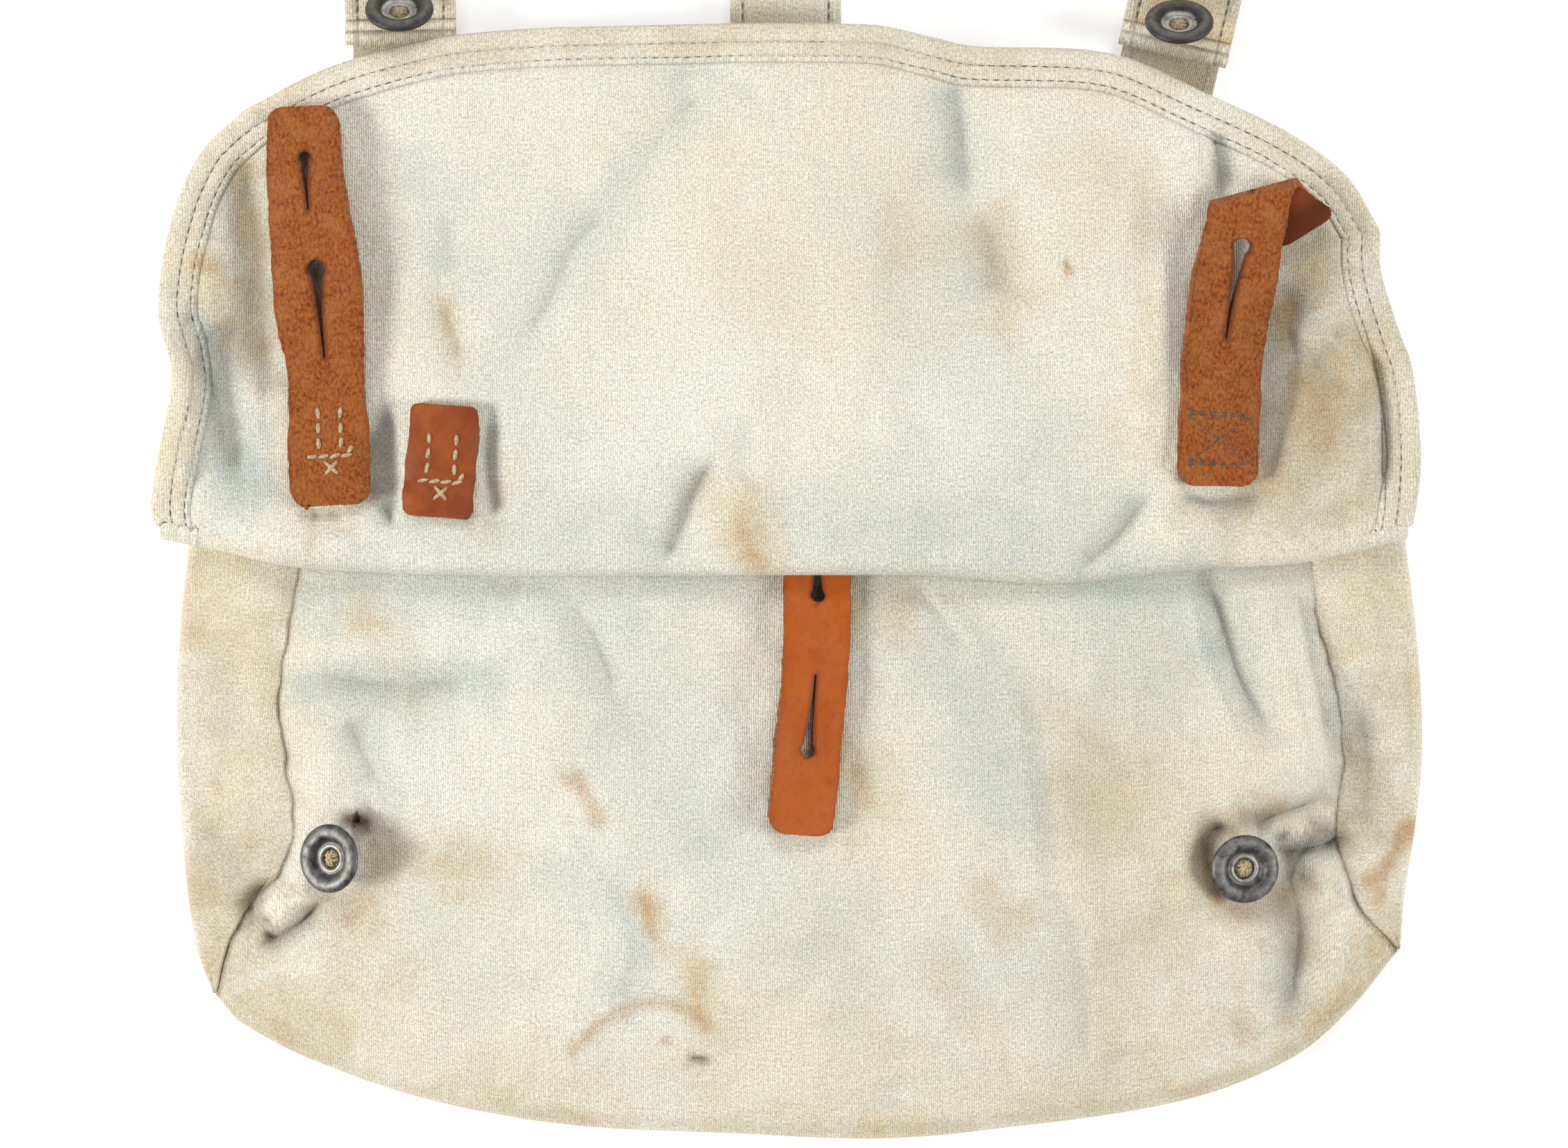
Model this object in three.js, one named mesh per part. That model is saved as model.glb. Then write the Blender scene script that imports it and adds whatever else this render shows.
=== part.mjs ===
// A canvas haversack lying on its back with its flap folded up in half: a hollow bag of two panels and two
// side gussets, a double-stitched flap, three leather button tabs, a leather patch, four dished metal
// buttons and three straps for the waist belt. Millimetres, +Z up, +Y towards the straps, the bag's back on
// the surface.
import * as THREE from "three";

// Walls and clearances
const cloth = 1.5; // one layer of canvas
const strap_cloth = 2; // the doubled canvas of a belt strap
const leather = 2.6;
const clearance = 0.3; // between pieces that touch

// The bag
const body_width = 331; // across the bag at its widest
const body_height = 283; // from the bottom edge to the top of the back
const mouth_height = 262; // the front panel's free edge
const mouth_step = 6; // from there up to where the back ends and the flap begins
const gusset_face = 31; // half of a gusset, which is all that the front shows
const edge_radius = 3; // of the roll along the bottom and sides
const plump = 13.5; // how far the front stands above that roll
const edge_slope = 42; // how far in from an edge the front has risen
const seam_dip = 2.4; // depth of the valley along a front seam
const seam_reach = 5; // half width of that valley

// The flap
const flap_rise = 145; // from the lower fold up to the free edge
const fold_height = 149.5; // the lower fold above the bottom edge
const flap_slack = 4; // between the two layers of the folded flap
const flap_droop = 7; // how far the free edge hangs past the top
const hem_width = 9.5;
const hem_step = 0.7; // the hem's extra thickness on the inner side

// Leather tabs and the patch
const tab_width = 20.5;
const tab_length = 104;
const tab_corner = 4;
const slot_eye = 4.8; // diameter of the round end of a buttonhole
const slot_gap = 1.2; // width of the far end of its slit
const curl_radius = 3.6; // of the right tab's end, which is rolled under
const curl_start = 0.7; // where that roll begins, as a share of the tab's length
const curl_turn = 27; // degrees that the roll is turned from square across the tab
const patch_width = 17.6;
const patch_length = 29.6;
const patch_corner = 2;

// Buttons
const button_diameter = 18.2;
const button_wall = 1.2;
const button_dish = 2.2; // depth of the dished face
const thread_diameter = 4.4; // of the thread sewn through a button
const button_stand = 1.4; // how far a button's lowest point stands off the cloth

// Belt straps
const strap_width = 29;
const strap_sewn = 22; // how far a strap is sewn down over the back
const free_end_overlap = 5; // how far a buttoned end reaches below the flap's free edge
const loop_length = 54.5; // from a buttoned end up to its loop's fold
const centre_drop = 8; // how much lower the middle strap's fold lies
const loop_radius = 4.4; // of a loop's fold
const loop_button_above = 6.5; // from a buttoned end up to the middle of its button
const loop_button_tilt = 50;

const back_height = mouth_height + mouth_step;
const strap_root = back_height - strap_sewn;
const free_end_height = fold_height + flap_rise - free_end_overlap;
const strap_top = free_end_height + loop_length;
const centre_strap_top = strap_top - centre_drop;
const half_body = body_width / 2;
const half_flap = half_body;
const corner_radius = (cloth + clearance) / 2; // of the edge's roll at the two lower corners
const back_lift = strap_cloth + clearance; // the back rises over the straps sewn under it

// Side outlines and gusset widths: up is a share of body_height, left and right of half the body's width,
// gusset_left and gusset_right of gusset_face.
const SIDES = [
  { up: 0.135, left: 0.941, right: 0.958, gusset_left: 0.03, gusset_right: 0.0 },
  { up: 0.176, left: 0.967, right: 0.964, gusset_left: 0.26, gusset_right: 0.03 },
  { up: 0.215, left: 0.979, right: 0.968, gusset_left: 0.48, gusset_right: 0.38 },
  { up: 0.25, left: 0.986, right: 0.976, gusset_left: 0.82, gusset_right: 0.53 },
  { up: 0.287, left: 0.991, right: 0.986, gusset_left: 0.97, gusset_right: 0.67 },
  { up: 0.352, left: 0.999, right: 0.998, gusset_left: 0.95, gusset_right: 0.7 },
  { up: 0.417, left: 1.0, right: 0.997, gusset_left: 0.9, gusset_right: 0.74 },
  { up: 0.482, left: 0.994, right: 0.988, gusset_left: 0.96, gusset_right: 0.84 },
  { up: 0.56, left: 0.981, right: 0.972, gusset_left: 1.0, gusset_right: 0.85 },
  { up: 0.78, left: 0.957, right: 0.928, gusset_left: 1.0, gusset_right: 0.86 },
  { up: 0.86, left: 0.948, right: 0.895, gusset_left: 1.0, gusset_right: 0.86 },
  { up: 1.0, left: 0.933, right: 0.86, gusset_left: 1.0, gusset_right: 0.86 },
];
// The upper edges of the back and front, which sink at their ends: drop is a share of body_height.
const BACK_TOP = [
  { across: 0, drop: 0.028 },
  { across: 0.1, drop: 0.006 },
  { across: 0.2, drop: 0 },
  { across: 0.6, drop: 0 },
  { across: 0.8, drop: 0.03 },
  { across: 0.93, drop: 0.07 },
  { across: 1, drop: 0.09 },
];
// The bottom edge between the two lower corners: rise is a share of body_height.
const BOTTOM = [
  { across: 0, rise: 0.135 },
  { across: 0.02, rise: 0.11 },
  { across: 0.09, rise: 0.071 },
  { across: 0.184, rise: 0.036 },
  { across: 0.3, rise: 0.013 },
  { across: 0.44, rise: 0.005 },
  { across: 0.557, rise: 0 },
  { across: 0.65, rise: 0.008 },
  { across: 0.813, rise: 0.035 },
  { across: 0.907, rise: 0.075 },
  { across: 0.96, rise: 0.123 },
  { across: 1, rise: 0.176 },
];

// The turned-up flap: up is a share of flap_rise above the lower fold, out of half the flap's width.
const FLAP_LEFT = [
  { along: 0, out: 1.022, up: 0.067 },
  { along: 0.08, out: 1.034, up: 0.124 },
  { along: 0.2, out: 1.024, up: 0.213 },
  { along: 0.4, out: 1.002, up: 0.365 },
  { along: 0.56, out: 1.024, up: 0.492 },
  { along: 0.75, out: 0.997, up: 0.67 },
  { along: 0.87, out: 0.954, up: 0.772 },
  { along: 1, out: 0.888, up: 0.844 },
];
const FLAP_RIGHT = [
  { along: 0, out: 0.97, up: 0.067 },
  { along: 0.1, out: 0.983, up: 0.124 },
  { along: 0.3, out: 0.99, up: 0.225 },
  { along: 0.55, out: 0.976, up: 0.378 },
  { along: 0.7, out: 0.953, up: 0.454 },
  { along: 0.88, out: 0.926, up: 0.56 },
  { along: 1, out: 0.925, up: 0.629 },
];
const FLAP_TOP = [
  { across: 0, up: 0.844 },
  { across: 0.066, up: 0.915 },
  { across: 0.127, up: 0.956 },
  { across: 0.188, up: 0.982 },
  { across: 0.286, up: 0.996 },
  { across: 0.55, up: 1.0 },
  { across: 0.61, up: 0.975 },
  { across: 0.64, up: 0.961 },
  { across: 0.764, up: 0.947 },
  { across: 0.849, up: 0.873 },
  { across: 0.923, up: 0.8 },
  { across: 0.973, up: 0.721 },
  { across: 1, up: 0.629 },
];
const FLAP_FOLD = [
  { across: 0, up: 0.067 },
  { across: 0.05, up: 0.044 },
  { across: 0.11, up: 0.015 },
  { across: 0.26, up: 0 },
  { across: 0.61, up: 0 },
  { across: 0.72, up: -0.014 },
  { across: 0.83, up: 0.011 },
  { across: 0.92, up: 0.025 },
  { across: 1, up: 0.067 },
];

// Folds and dents of the front, as ridges (high above 0) and valleys from a first point to a last: x is a
// share of half the body's width, y of body_height, reach (half width) of edge_slope and high of plump.
const FRONT_FOLDS = [
  { name: "fold down the right", x1: 0.283, y1: 0.46, x2: 0.403, y2: 0.16, reach: 0.3, high: -0.16 },
  { name: "bulge right of it", x1: 0.543, y1: 0.42, x2: 0.603, y2: 0.14, reach: 0.6, high: 0.16 },
  { name: "short crease by the flap", x1: 0.153, y1: 0.52, x2: 0.253, y2: 0.44, reach: 0.24, high: -0.14 },
  { name: "pleat right of the tab", x1: 0.653, y1: 0.52, x2: 0.713, y2: 0.4, reach: 0.24, high: -0.3 },
  { name: "ridge beside right seam", x1: 0.783, y1: 0.5, x2: 0.843, y2: 0.31, reach: 0.24, high: 0.14 },
  { name: "tuck above right button", x1: 0.683, y1: 0.3, x2: 0.833, y2: 0.33, reach: 0.24, high: -0.08 },
  { name: "tuck below right button", x1: 0.753, y1: 0.27, x2: 0.853, y2: 0.27, reach: 0.24, high: -0.1 },
  { name: "valley to right corner", x1: 0.773, y1: 0.24, x2: 0.783, y2: 0.12, reach: 0.26, high: -0.3 },
  { name: "dent above left button", x1: -0.677, y1: 0.42, x2: -0.737, y2: 0.31, reach: 0.4, high: -0.2 },
  { name: "shelf by the flap, left", x1: -0.817, y1: 0.43, x2: -0.597, y2: 0.45, reach: 0.25, high: -0.14 },
  { name: "tuck below left button", x1: -0.857, y1: 0.2, x2: -0.777, y2: 0.22, reach: 0.24, high: -0.22 },
  { name: "ridge over left tuck", x1: -0.877, y1: 0.24, x2: -0.797, y2: 0.225, reach: 0.24, high: 0.14 },
  { name: "curved ridge, left", x1: -0.397, y1: 0.28, x2: -0.317, y2: 0.15, reach: 0.24, high: -0.1 },
  { name: "soft bulge in the middle", x1: -0.217, y1: 0.3, x2: 0.083, y2: 0.2, reach: 1.1, high: 0.14 },
  { name: "sag of the bottom left", x1: -0.517, y1: 0.12, x2: -0.217, y2: 0.09, reach: 0.6, high: 0.1 },
];
// Folds of the turned-up flap: x is a share of half the flap's width, y of flap_rise above the fold, reach
// of edge_slope and high of flap_slack.
const FLAP_FOLDS = [
  { name: "valley beside left tab", x1: -0.94, y1: 0.46, x2: -0.88, y2: 0.16, reach: 0.24, high: -0.7 },
  { name: "valley along the left tab", x1: -0.87, y1: 0.72, x2: -0.86, y2: 0.38, reach: 0.24, high: -0.7 },
  { name: "left hem stands up", x1: -1.0, y1: 0.62, x2: -1.0, y2: 0.42, reach: 0.24, high: 0.5 },
  { name: "bulge above left fold", x1: -0.9, y1: 0.1, x2: -0.6, y2: 0.05, reach: 0.3, high: 0.4 },
  { name: "pleat beside the patch", x1: -0.65, y1: 0.26, x2: -0.66, y2: 0.07, reach: 0.24, high: -0.5 },
  { name: "long crease to the left", x1: -0.12, y1: 0.8, x2: -0.46, y2: 0.44, reach: 0.24, high: -0.4 },
  { name: "crease right of the patch", x1: -0.54, y1: 0.72, x2: -0.56, y2: 0.42, reach: 0.24, high: -0.4 },
  { name: "short crease by the fold", x1: -0.12, y1: 0.2, x2: -0.22, y2: 0.03, reach: 0.24, high: -0.6 },
  { name: "drop from the free edge", x1: 0.25, y1: 0.93, x2: 0.31, y2: 0.5, reach: 0.24, high: -0.5 },
  { name: "step beside right tab", x1: 0.66, y1: 0.84, x2: 0.6, y2: 0.3, reach: 0.3, high: 0.5 },
  { name: "valley beside right tab", x1: 0.84, y1: 0.56, x2: 0.76, y2: 0.16, reach: 0.34, high: -0.8 },
  { name: "hollow beside right hem", x1: 0.88, y1: 0.5, x2: 0.84, y2: 0.36, reach: 0.3, high: -0.4 },
  { name: "ridge down the right hem", x1: 0.9, y1: 0.34, x2: 0.92, y2: 0.1, reach: 0.24, high: 0.5 },
  { name: "dent below the right tab", x1: 0.56, y1: 0.14, x2: 0.46, y2: 0.03, reach: 0.24, high: -0.6 },
  { name: "long swell in the middle", x1: 0.0, y1: 0.4, x2: 0.4, y2: 0.3, reach: 1, high: 0.25 },
];

// Routes of the leather tabs in plan from the sewn end: x is a share of half the body's width, y of
// body_height, along of tab_length and wide of tab_width. lift is the height above the cloth and lean the
// rise of the left edge over the middle, both as shares of leather.
const TAB_LEFT = [
  { along: 0, x: -0.746, y: 0.594, wide: 1.0, lift: 0, lean: 0 },
  { along: 0.16, x: -0.751, y: 0.653, wide: 1.03, lift: 0, lean: 0 },
  { along: 0.32, x: -0.754, y: 0.713, wide: 0.96, lift: 0.15, lean: 0 },
  { along: 0.48, x: -0.763, y: 0.772, wide: 1.1, lift: 0.5, lean: -0.3 },
  { along: 0.6, x: -0.769, y: 0.815, wide: 1.1, lift: 0.8, lean: -0.5 },
  { along: 0.74, x: -0.781, y: 0.869, wide: 1.0, lift: 0.8, lean: -0.6 },
  { along: 0.87, x: -0.788, y: 0.915, wide: 0.95, lift: 0.6, lean: -0.4 },
  { along: 1, x: -0.791, y: 0.965, wide: 0.9, lift: 0.4, lean: -0.2 },
];
const TAB_CENTRE = [
  { along: 0, x: 0.027, y: 0.655, wide: 0.9, lift: 0, lean: 0 },
  { along: 0.36, x: 0.028, y: 0.522, wide: 0.87, lift: 0, lean: 0 },
  { along: 0.46, x: 0.027, y: 0.486, wide: 0.86, lift: 0.5, lean: 0.5 },
  { along: 0.64, x: 0.021, y: 0.421, wide: 0.83, lift: 0.9, lean: 0.8 },
  { along: 0.82, x: 0.009, y: 0.354, wide: 0.84, lift: 1.0, lean: 0.9 },
  { along: 1, x: -0.001, y: 0.287, wide: 0.82, lift: 0.7, lean: 0.6 },
];
const TAB_RIGHT = [
  { along: 0, x: 0.666, y: 0.613, wide: 1.04, lift: 0, lean: 0 },
  { along: 0.16, x: 0.667, y: 0.674, wide: 1.02, lift: 0, lean: 0 },
  { along: 0.36, x: 0.675, y: 0.746, wide: 1.02, lift: 0.9, lean: 0 },
  { along: 0.52, x: 0.692, y: 0.806, wide: 1.07, lift: 2.2, lean: 0 },
  { along: 0.6, x: 0.702, y: 0.836, wide: 1.03, lift: 2.8, lean: 0 },
  { along: 0.76, x: 0.721, y: 0.889, wide: 1.0, lift: 3.4, lean: 0 },
  { along: 1, x: 0.755, y: 0.972, wide: 0.92, lift: 3.4, lean: 0 },
];
// Buttonholes: eye and far (the end of the slit) are shares of tab_length.
const OUTER_SLOTS = [
  { eye: 0.596, far: 0.37, size: 1 },
  { eye: 0.877, far: 0.74, size: 0.6 },
];
const CENTRE_SLOTS = [
  { eye: 0.394, far: 0.2, size: 0.8 },
  { eye: 0.788, far: 0.6, size: 0.8 },
];

// Places on the bag: x is a share of half the body's width and y of body_height.
const BUTTON_LEFT = { x: -0.744, y: 0.2647, tilt: 32, towards: 180 };
const BUTTON_RIGHT = { x: 0.708, y: 0.2555, tilt: 12, towards: -35 };
const PATCH_PLACE = { x: -0.571, y: 0.635, turn: -4 };
// The straps lean by degrees from the root and a buttoned end stops lower by a share of strap_width.
const STRAP_LEFT = { x: -0.634, lean: 1, drop: -0.05 };
const STRAP_CENTRE = { x: -0.023, lean: 0, drop: 0 };
const STRAP_RIGHT = { x: 0.538, lean: -13, drop: 0.02 };

// Steps of the faceted walls
const SEAM_ROWS = 15;
const FRONT_STEPS = { across: 26, roll: 4 };
const BACK_STEPS = 10;
const FLAP_STEPS = { across: 22, top_fold: 5, under: 4, lower_fold: 4, over: 13 };
const GUSSET_STEPS = { flat: 2, roll: 4, top: 4 };
const TAB_ROWS = 9;
const BUTTON_SIDES = 16;
const THREAD_SIDES = 10;

const clamp01 = (t) => Math.min(1, Math.max(0, t));
const smooth = (t) => clamp01(t) ** 2 * (3 - 2 * clamp01(t));
const mix = (a, b, t) => a + (b - a) * t;
const radians = THREE.MathUtils.degToRad;

// One column of a table, read between its rows along a smooth curve.
function column(table, key, name) {
  const last = table.length - 1;
  const slope = (k) => {
    const a = table[Math.max(0, k - 1)];
    const b = table[Math.min(last, k + 1)];
    return (b[name] - a[name]) / (b[key] - a[key]);
  };
  return (at) => {
    let i = 0;
    while (i < last - 1 && at > table[i + 1][key]) i += 1;
    const a = table[i];
    const b = table[i + 1];
    const span = b[key] - a[key];
    const t = clamp01((at - a[key]) / span);
    const bend = span * (t * (1 - t) ** 2 * slope(i) - t * t * (1 - t) * slope(i + 1));
    return mix(a[name], b[name], t * t * (3 - 2 * t)) + bend;
  };
}

// The bag's outline
const leftShare = column(SIDES, "up", "left");
const rightShare = column(SIDES, "up", "right");
const leftGusset = column(SIDES, "up", "gusset_left");
const rightGusset = column(SIDES, "up", "gusset_right");
const outlineLeft = (y) => -half_body * leftShare(y / body_height);
const outlineRight = (y) => half_body * rightShare(y / body_height);
const seamLeft = (y) => outlineLeft(y) + gusset_face * leftGusset(y / body_height);
const seamRight = (y) => outlineRight(y) - gusset_face * rightGusset(y / body_height);
const cornerLeft = { x: outlineLeft(BOTTOM[0].rise * body_height), y: BOTTOM[0].rise * body_height };
const cornerRise = BOTTOM[BOTTOM.length - 1].rise * body_height;
const cornerRight = { x: outlineRight(cornerRise), y: cornerRise };
const bottomRise = column(BOTTOM, "across", "rise");
const bottomAt = (u) => ({ x: mix(cornerLeft.x, cornerRight.x, u), y: body_height * bottomRise(u) });
const topDrop = column(BACK_TOP, "across", "drop");
const bottomUnder = (x) => bottomAt(clamp01((x - cornerLeft.x) / (cornerRight.x - cornerLeft.x))).y;

// The edge's roll gets smaller towards the two lower corners, where the gussets end.
function rollRadius(x, y) {
  const near = (corner) => Math.exp(-Math.hypot(x - corner.x, y - corner.y) / (edge_slope / 2));
  return mix(edge_radius, corner_radius, Math.min(1, near(cornerLeft) + near(cornerRight)));
}

// A point moved inwards from the bottom edge, square to it, and drawn to the seams at both ends.
function bottomInset(u, distance) {
  const place = (s) => {
    const a = bottomAt(Math.max(0, s - 0.01));
    const b = bottomAt(Math.min(1, s + 0.01));
    const length = Math.hypot(b.x - a.x, b.y - a.y);
    const at = bottomAt(s);
    return { x: at.x - ((b.y - a.y) / length) * distance, y: at.y + ((b.x - a.x) / length) * distance };
  };
  const at = place(u);
  const first = place(0);
  const last = place(1);
  const toLeft = (seamLeft(first.y) + clearance / 2 - first.x) * smooth(1 - u / 0.08);
  const toRight = (seamRight(last.y) - clearance / 2 - last.x) * smooth(1 - (1 - u) / 0.08);
  return { x: at.x + toLeft + toRight, y: at.y };
}

// Height of the middle of the front cloth above the surface, before its folds and seams.
function bodyHeight(x, y) {
  const rise = (d) => 1 - Math.exp(-Math.max(0, d) / edge_slope);
  const sides = rise(x - outlineLeft(y)) * rise(outlineRight(y) - x);
  const bottom = rise(1.6 * (y - bottomUnder(x)));
  const mouth = 1 - 0.42 * Math.exp(-Math.max(0, body_height - y) / edge_slope);
  return cloth / 2 + 2 * rollRadius(x, y) + (plump * sides * bottom * mouth) / 0.9;
}

// Sum of a table's ridges and valleys at a point.
function folds(table, x, y, sizes) {
  let sum = 0;
  for (const row of table) {
    const a = { x: row.x1 * sizes.x, y: row.y1 * sizes.y };
    const run = { x: row.x2 * sizes.x - a.x, y: row.y2 * sizes.y - a.y };
    const t = clamp01(((x - a.x) * run.x + (y - a.y) * run.y) / (run.x ** 2 + run.y ** 2));
    const away = Math.hypot(x - a.x - run.x * t, y - a.y - run.y * t) / (row.reach * edge_slope);
    sum += row.high * sizes.high * Math.exp(-away * away);
  }
  return sum;
}

// The lower fold's line and the two corners of the flap beside it
const foldUp = column(FLAP_FOLD, "across", "up");
const foldLeft = -half_flap * FLAP_LEFT[0].out;
const foldRight = half_flap * FLAP_RIGHT[0].out;
const foldLine = (x) => fold_height + flap_rise * foldUp(clamp01((x - foldLeft) / (foldRight - foldLeft)));

// Height of the middle of the front cloth, with folds that fade out under the flap and a valley along each
// seam.
function frontHeight(x, y) {
  const shown = smooth((foldLine(x) - y) / (edge_slope / 4));
  const pucker = folds(FRONT_FOLDS, x, y, { x: half_body, y: body_height, high: plump });
  const fromEdge = Math.min(x - outlineLeft(y), outlineRight(y) - x, y - bottomUnder(x));
  const toSeam = Math.min(Math.abs(x - seamLeft(y)), Math.abs(x - seamRight(y)));
  const inBag = smooth((y - Math.min(cornerLeft.y, cornerRight.y)) / edge_slope);
  const dip = seam_dip * inBag * Math.exp(-((toSeam / seam_reach) ** 2));
  const level = bodyHeight(x, y) + smooth(fromEdge / (edge_slope / 2)) * (shown * pucker - dip);
  return Math.max(cloth / 2 + 2 * corner_radius, level);
}

// The flap's lower layer lies on the bag, and makes room for the middle tab sewn under it.
function flapUnder(x, y) {
  const aside = Math.abs(x - TAB_CENTRE[0].x * half_body) - tab_width / 2;
  const room = smooth(1 - aside / edge_slope);
  return bodyHeight(x, y) + cloth + 2 * clearance + (leather + clearance) * room;
}

// The upper layer, which is the one that shows.
function flapOver(x, y) {
  const pucker = folds(FLAP_FOLDS, x, y - fold_height, { x: half_flap, y: flap_rise, high: flap_slack });
  const bulge = back_height + flapUnder(0, back_height) / 2;
  const droop = flap_droop * smooth((y - bulge) / (edge_slope / 2));
  return flapUnder(x, y) + cloth + 2 * clearance + flap_slack + Math.max(-flap_slack, pucker) - droop;
}

// A closed wall around a grid of points. upright(i, j) sets the thickness upright instead of square to the
// surface, open(i, j) leaves a cell out and above(i, j) is extra thickness on the first side.
function wall(points, half, { upright = () => false, open = () => false, above = () => 0 } = {}) {
  const rows = points.length;
  const cols = points[0].length;
  const positions = [];
  const at = (i, j) => points[Math.min(rows - 1, Math.max(0, i))][Math.min(cols - 1, Math.max(0, j))];
  for (let i = 0; i < rows; i++) {
    for (let j = 0; j < cols; j++) {
      const across = new THREE.Vector3().subVectors(at(i, j + 1), at(i, j - 1));
      const along = new THREE.Vector3().subVectors(at(i + 1, j), at(i - 1, j));
      const normal = across.cross(along).normalize();
      if (upright(i, j)) normal.set(0, 0, Math.sign(normal.z));
      const top = points[i][j].clone().addScaledVector(normal, half + above(i, j));
      const base = points[i][j].clone().addScaledVector(normal, -half);
      positions.push(...top.toArray(), ...base.toArray());
    }
  }
  const index = [];
  const top = (i, j) => 2 * (i * cols + j);
  const base = (i, j) => top(i, j) + 1;
  const quad = (a, b, c, d) => index.push(a, b, c, a, c, d);
  const solid = (i, j) => i >= 0 && j >= 0 && i < rows - 1 && j < cols - 1 && !open(i, j);
  for (let i = 0; i < rows - 1; i++) {
    for (let j = 0; j < cols - 1; j++) {
      if (!solid(i, j)) continue;
      quad(top(i, j), top(i, j + 1), top(i + 1, j + 1), top(i + 1, j));
      quad(base(i, j), base(i + 1, j), base(i + 1, j + 1), base(i, j + 1));
      if (!solid(i - 1, j)) quad(top(i, j), base(i, j), base(i, j + 1), top(i, j + 1));
      if (!solid(i + 1, j)) quad(top(i + 1, j + 1), base(i + 1, j + 1), base(i + 1, j), top(i + 1, j));
      if (!solid(i, j - 1)) quad(top(i + 1, j), base(i + 1, j), base(i, j), top(i, j));
      if (!solid(i, j + 1)) quad(top(i, j + 1), base(i, j + 1), base(i + 1, j + 1), top(i + 1, j + 1));
    }
  }
  const geometry = new THREE.BufferGeometry();
  geometry.setAttribute("position", new THREE.Float32BufferAttribute(positions, 3));
  geometry.setIndex(index);
  return geometry;
}

// A point inside four boundaries: curves low and high, and the ends of its own row on the left and right.
function patch(u, v, low, high, left, right) {
  const blend = (axis) => {
    const rows = mix(low(u)[axis], high(u)[axis], v);
    const corners = mix(mix(low(0)[axis], low(1)[axis], u), mix(high(0)[axis], high(1)[axis], u), v);
    return rows + mix(left[axis], right[axis], u) - corners;
  };
  return { x: blend("x"), y: blend("y") };
}

// Where a gusset begins above its lower corner, and the heights of its rows from there to the mouth.
function seamRows(outline, seam, corner, drop) {
  let start = corner.y;
  while (Math.abs(seam(start) - outline(start)) < 2 * cloth) start += cloth / 4;
  const end = mouth_height - body_height * drop;
  return Array.from({ length: SEAM_ROWS + 1 }, (_, k) => mix(start, end, (k / SEAM_ROWS) ** 1.25));
}
const rowsLeft = seamRows(outlineLeft, seamLeft, cornerLeft, topDrop(0));
const rowsRight = seamRows(outlineRight, seamRight, cornerRight, topDrop(1));

// A row of a body panel between the seams, from its edge inset from the bottom (row 0) up to its top edge.
function panelRow(row, across, inset, top) {
  const count = SEAM_ROWS + 1 + (top > mouth_height ? 1 : 0);
  const low = (s) => bottomInset(s, inset(s));
  const yAt = (s) => top - body_height * topDrop(s);
  const ends = [seamLeft(yAt(0)) + clearance / 2, seamRight(yAt(1)) - clearance / 2];
  const high = (s) => ({ x: mix(...ends, s), y: yAt(s) });
  const end = (rows, seam, gap, s) => {
    if (row === 0) return low(s);
    const y = rows[row - 1] ?? yAt(s);
    return { x: seam(y) + gap, y };
  };
  const left = end(rowsLeft, seamLeft, clearance / 2, 0);
  const right = end(rowsRight, seamRight, -clearance / 2, 1);
  const v = (row / count) ** 1.25;
  return Array.from({ length: across + 1 }, (_, j) => patch(j / across, v, low, high, left, right));
}

const rollAt = (u) => rollRadius(bottomAt(u).x, bottomAt(u).y);

// The front panel rolls under along the bottom to meet the back.
function frontPanel() {
  const { across, roll } = FRONT_STEPS;
  const points = [];
  for (let i = 0; i < roll; i++) {
    const turn = radians(mix(-90, 90, i / roll));
    const row = [];
    for (let j = 0; j <= across; j++) {
      const r = rollAt(j / across);
      const at = bottomInset(j / across, cloth / 2 + r - r * Math.cos(turn));
      row.push(new THREE.Vector3(at.x, at.y, cloth / 2 + r + r * Math.sin(turn)));
    }
    points.push(row);
  }
  for (let i = 0; i <= SEAM_ROWS + 1; i++) {
    const row = panelRow(i, across, (s) => cloth / 2 + rollAt(s), mouth_height);
    points.push(row.map((at) => new THREE.Vector3(at.x, at.y, frontHeight(at.x, at.y))));
  }
  const sewn = (i, j) => i === 0 || (i > roll && (j === 0 || j === across));
  return wall(points, cloth / 2, { upright: sewn });
}

// How far the back is lifted by the straps under it.
const liftAt = (y) => back_lift * smooth((y - strap_root + strap_width) / (strap_width - 8 * clearance));

function backPanel() {
  const points = [];
  for (let i = 0; i <= SEAM_ROWS + 2; i++) {
    const inset = (s) => rollAt(s) + cloth / 2 + clearance;
    const row = panelRow(i, BACK_STEPS, inset, back_height - clearance / 2);
    points.push(row.map((at) => new THREE.Vector3(at.x, at.y, cloth / 2 + liftAt(at.y))));
  }
  return wall(points, cloth / 2, { upright: () => true });
}

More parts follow.
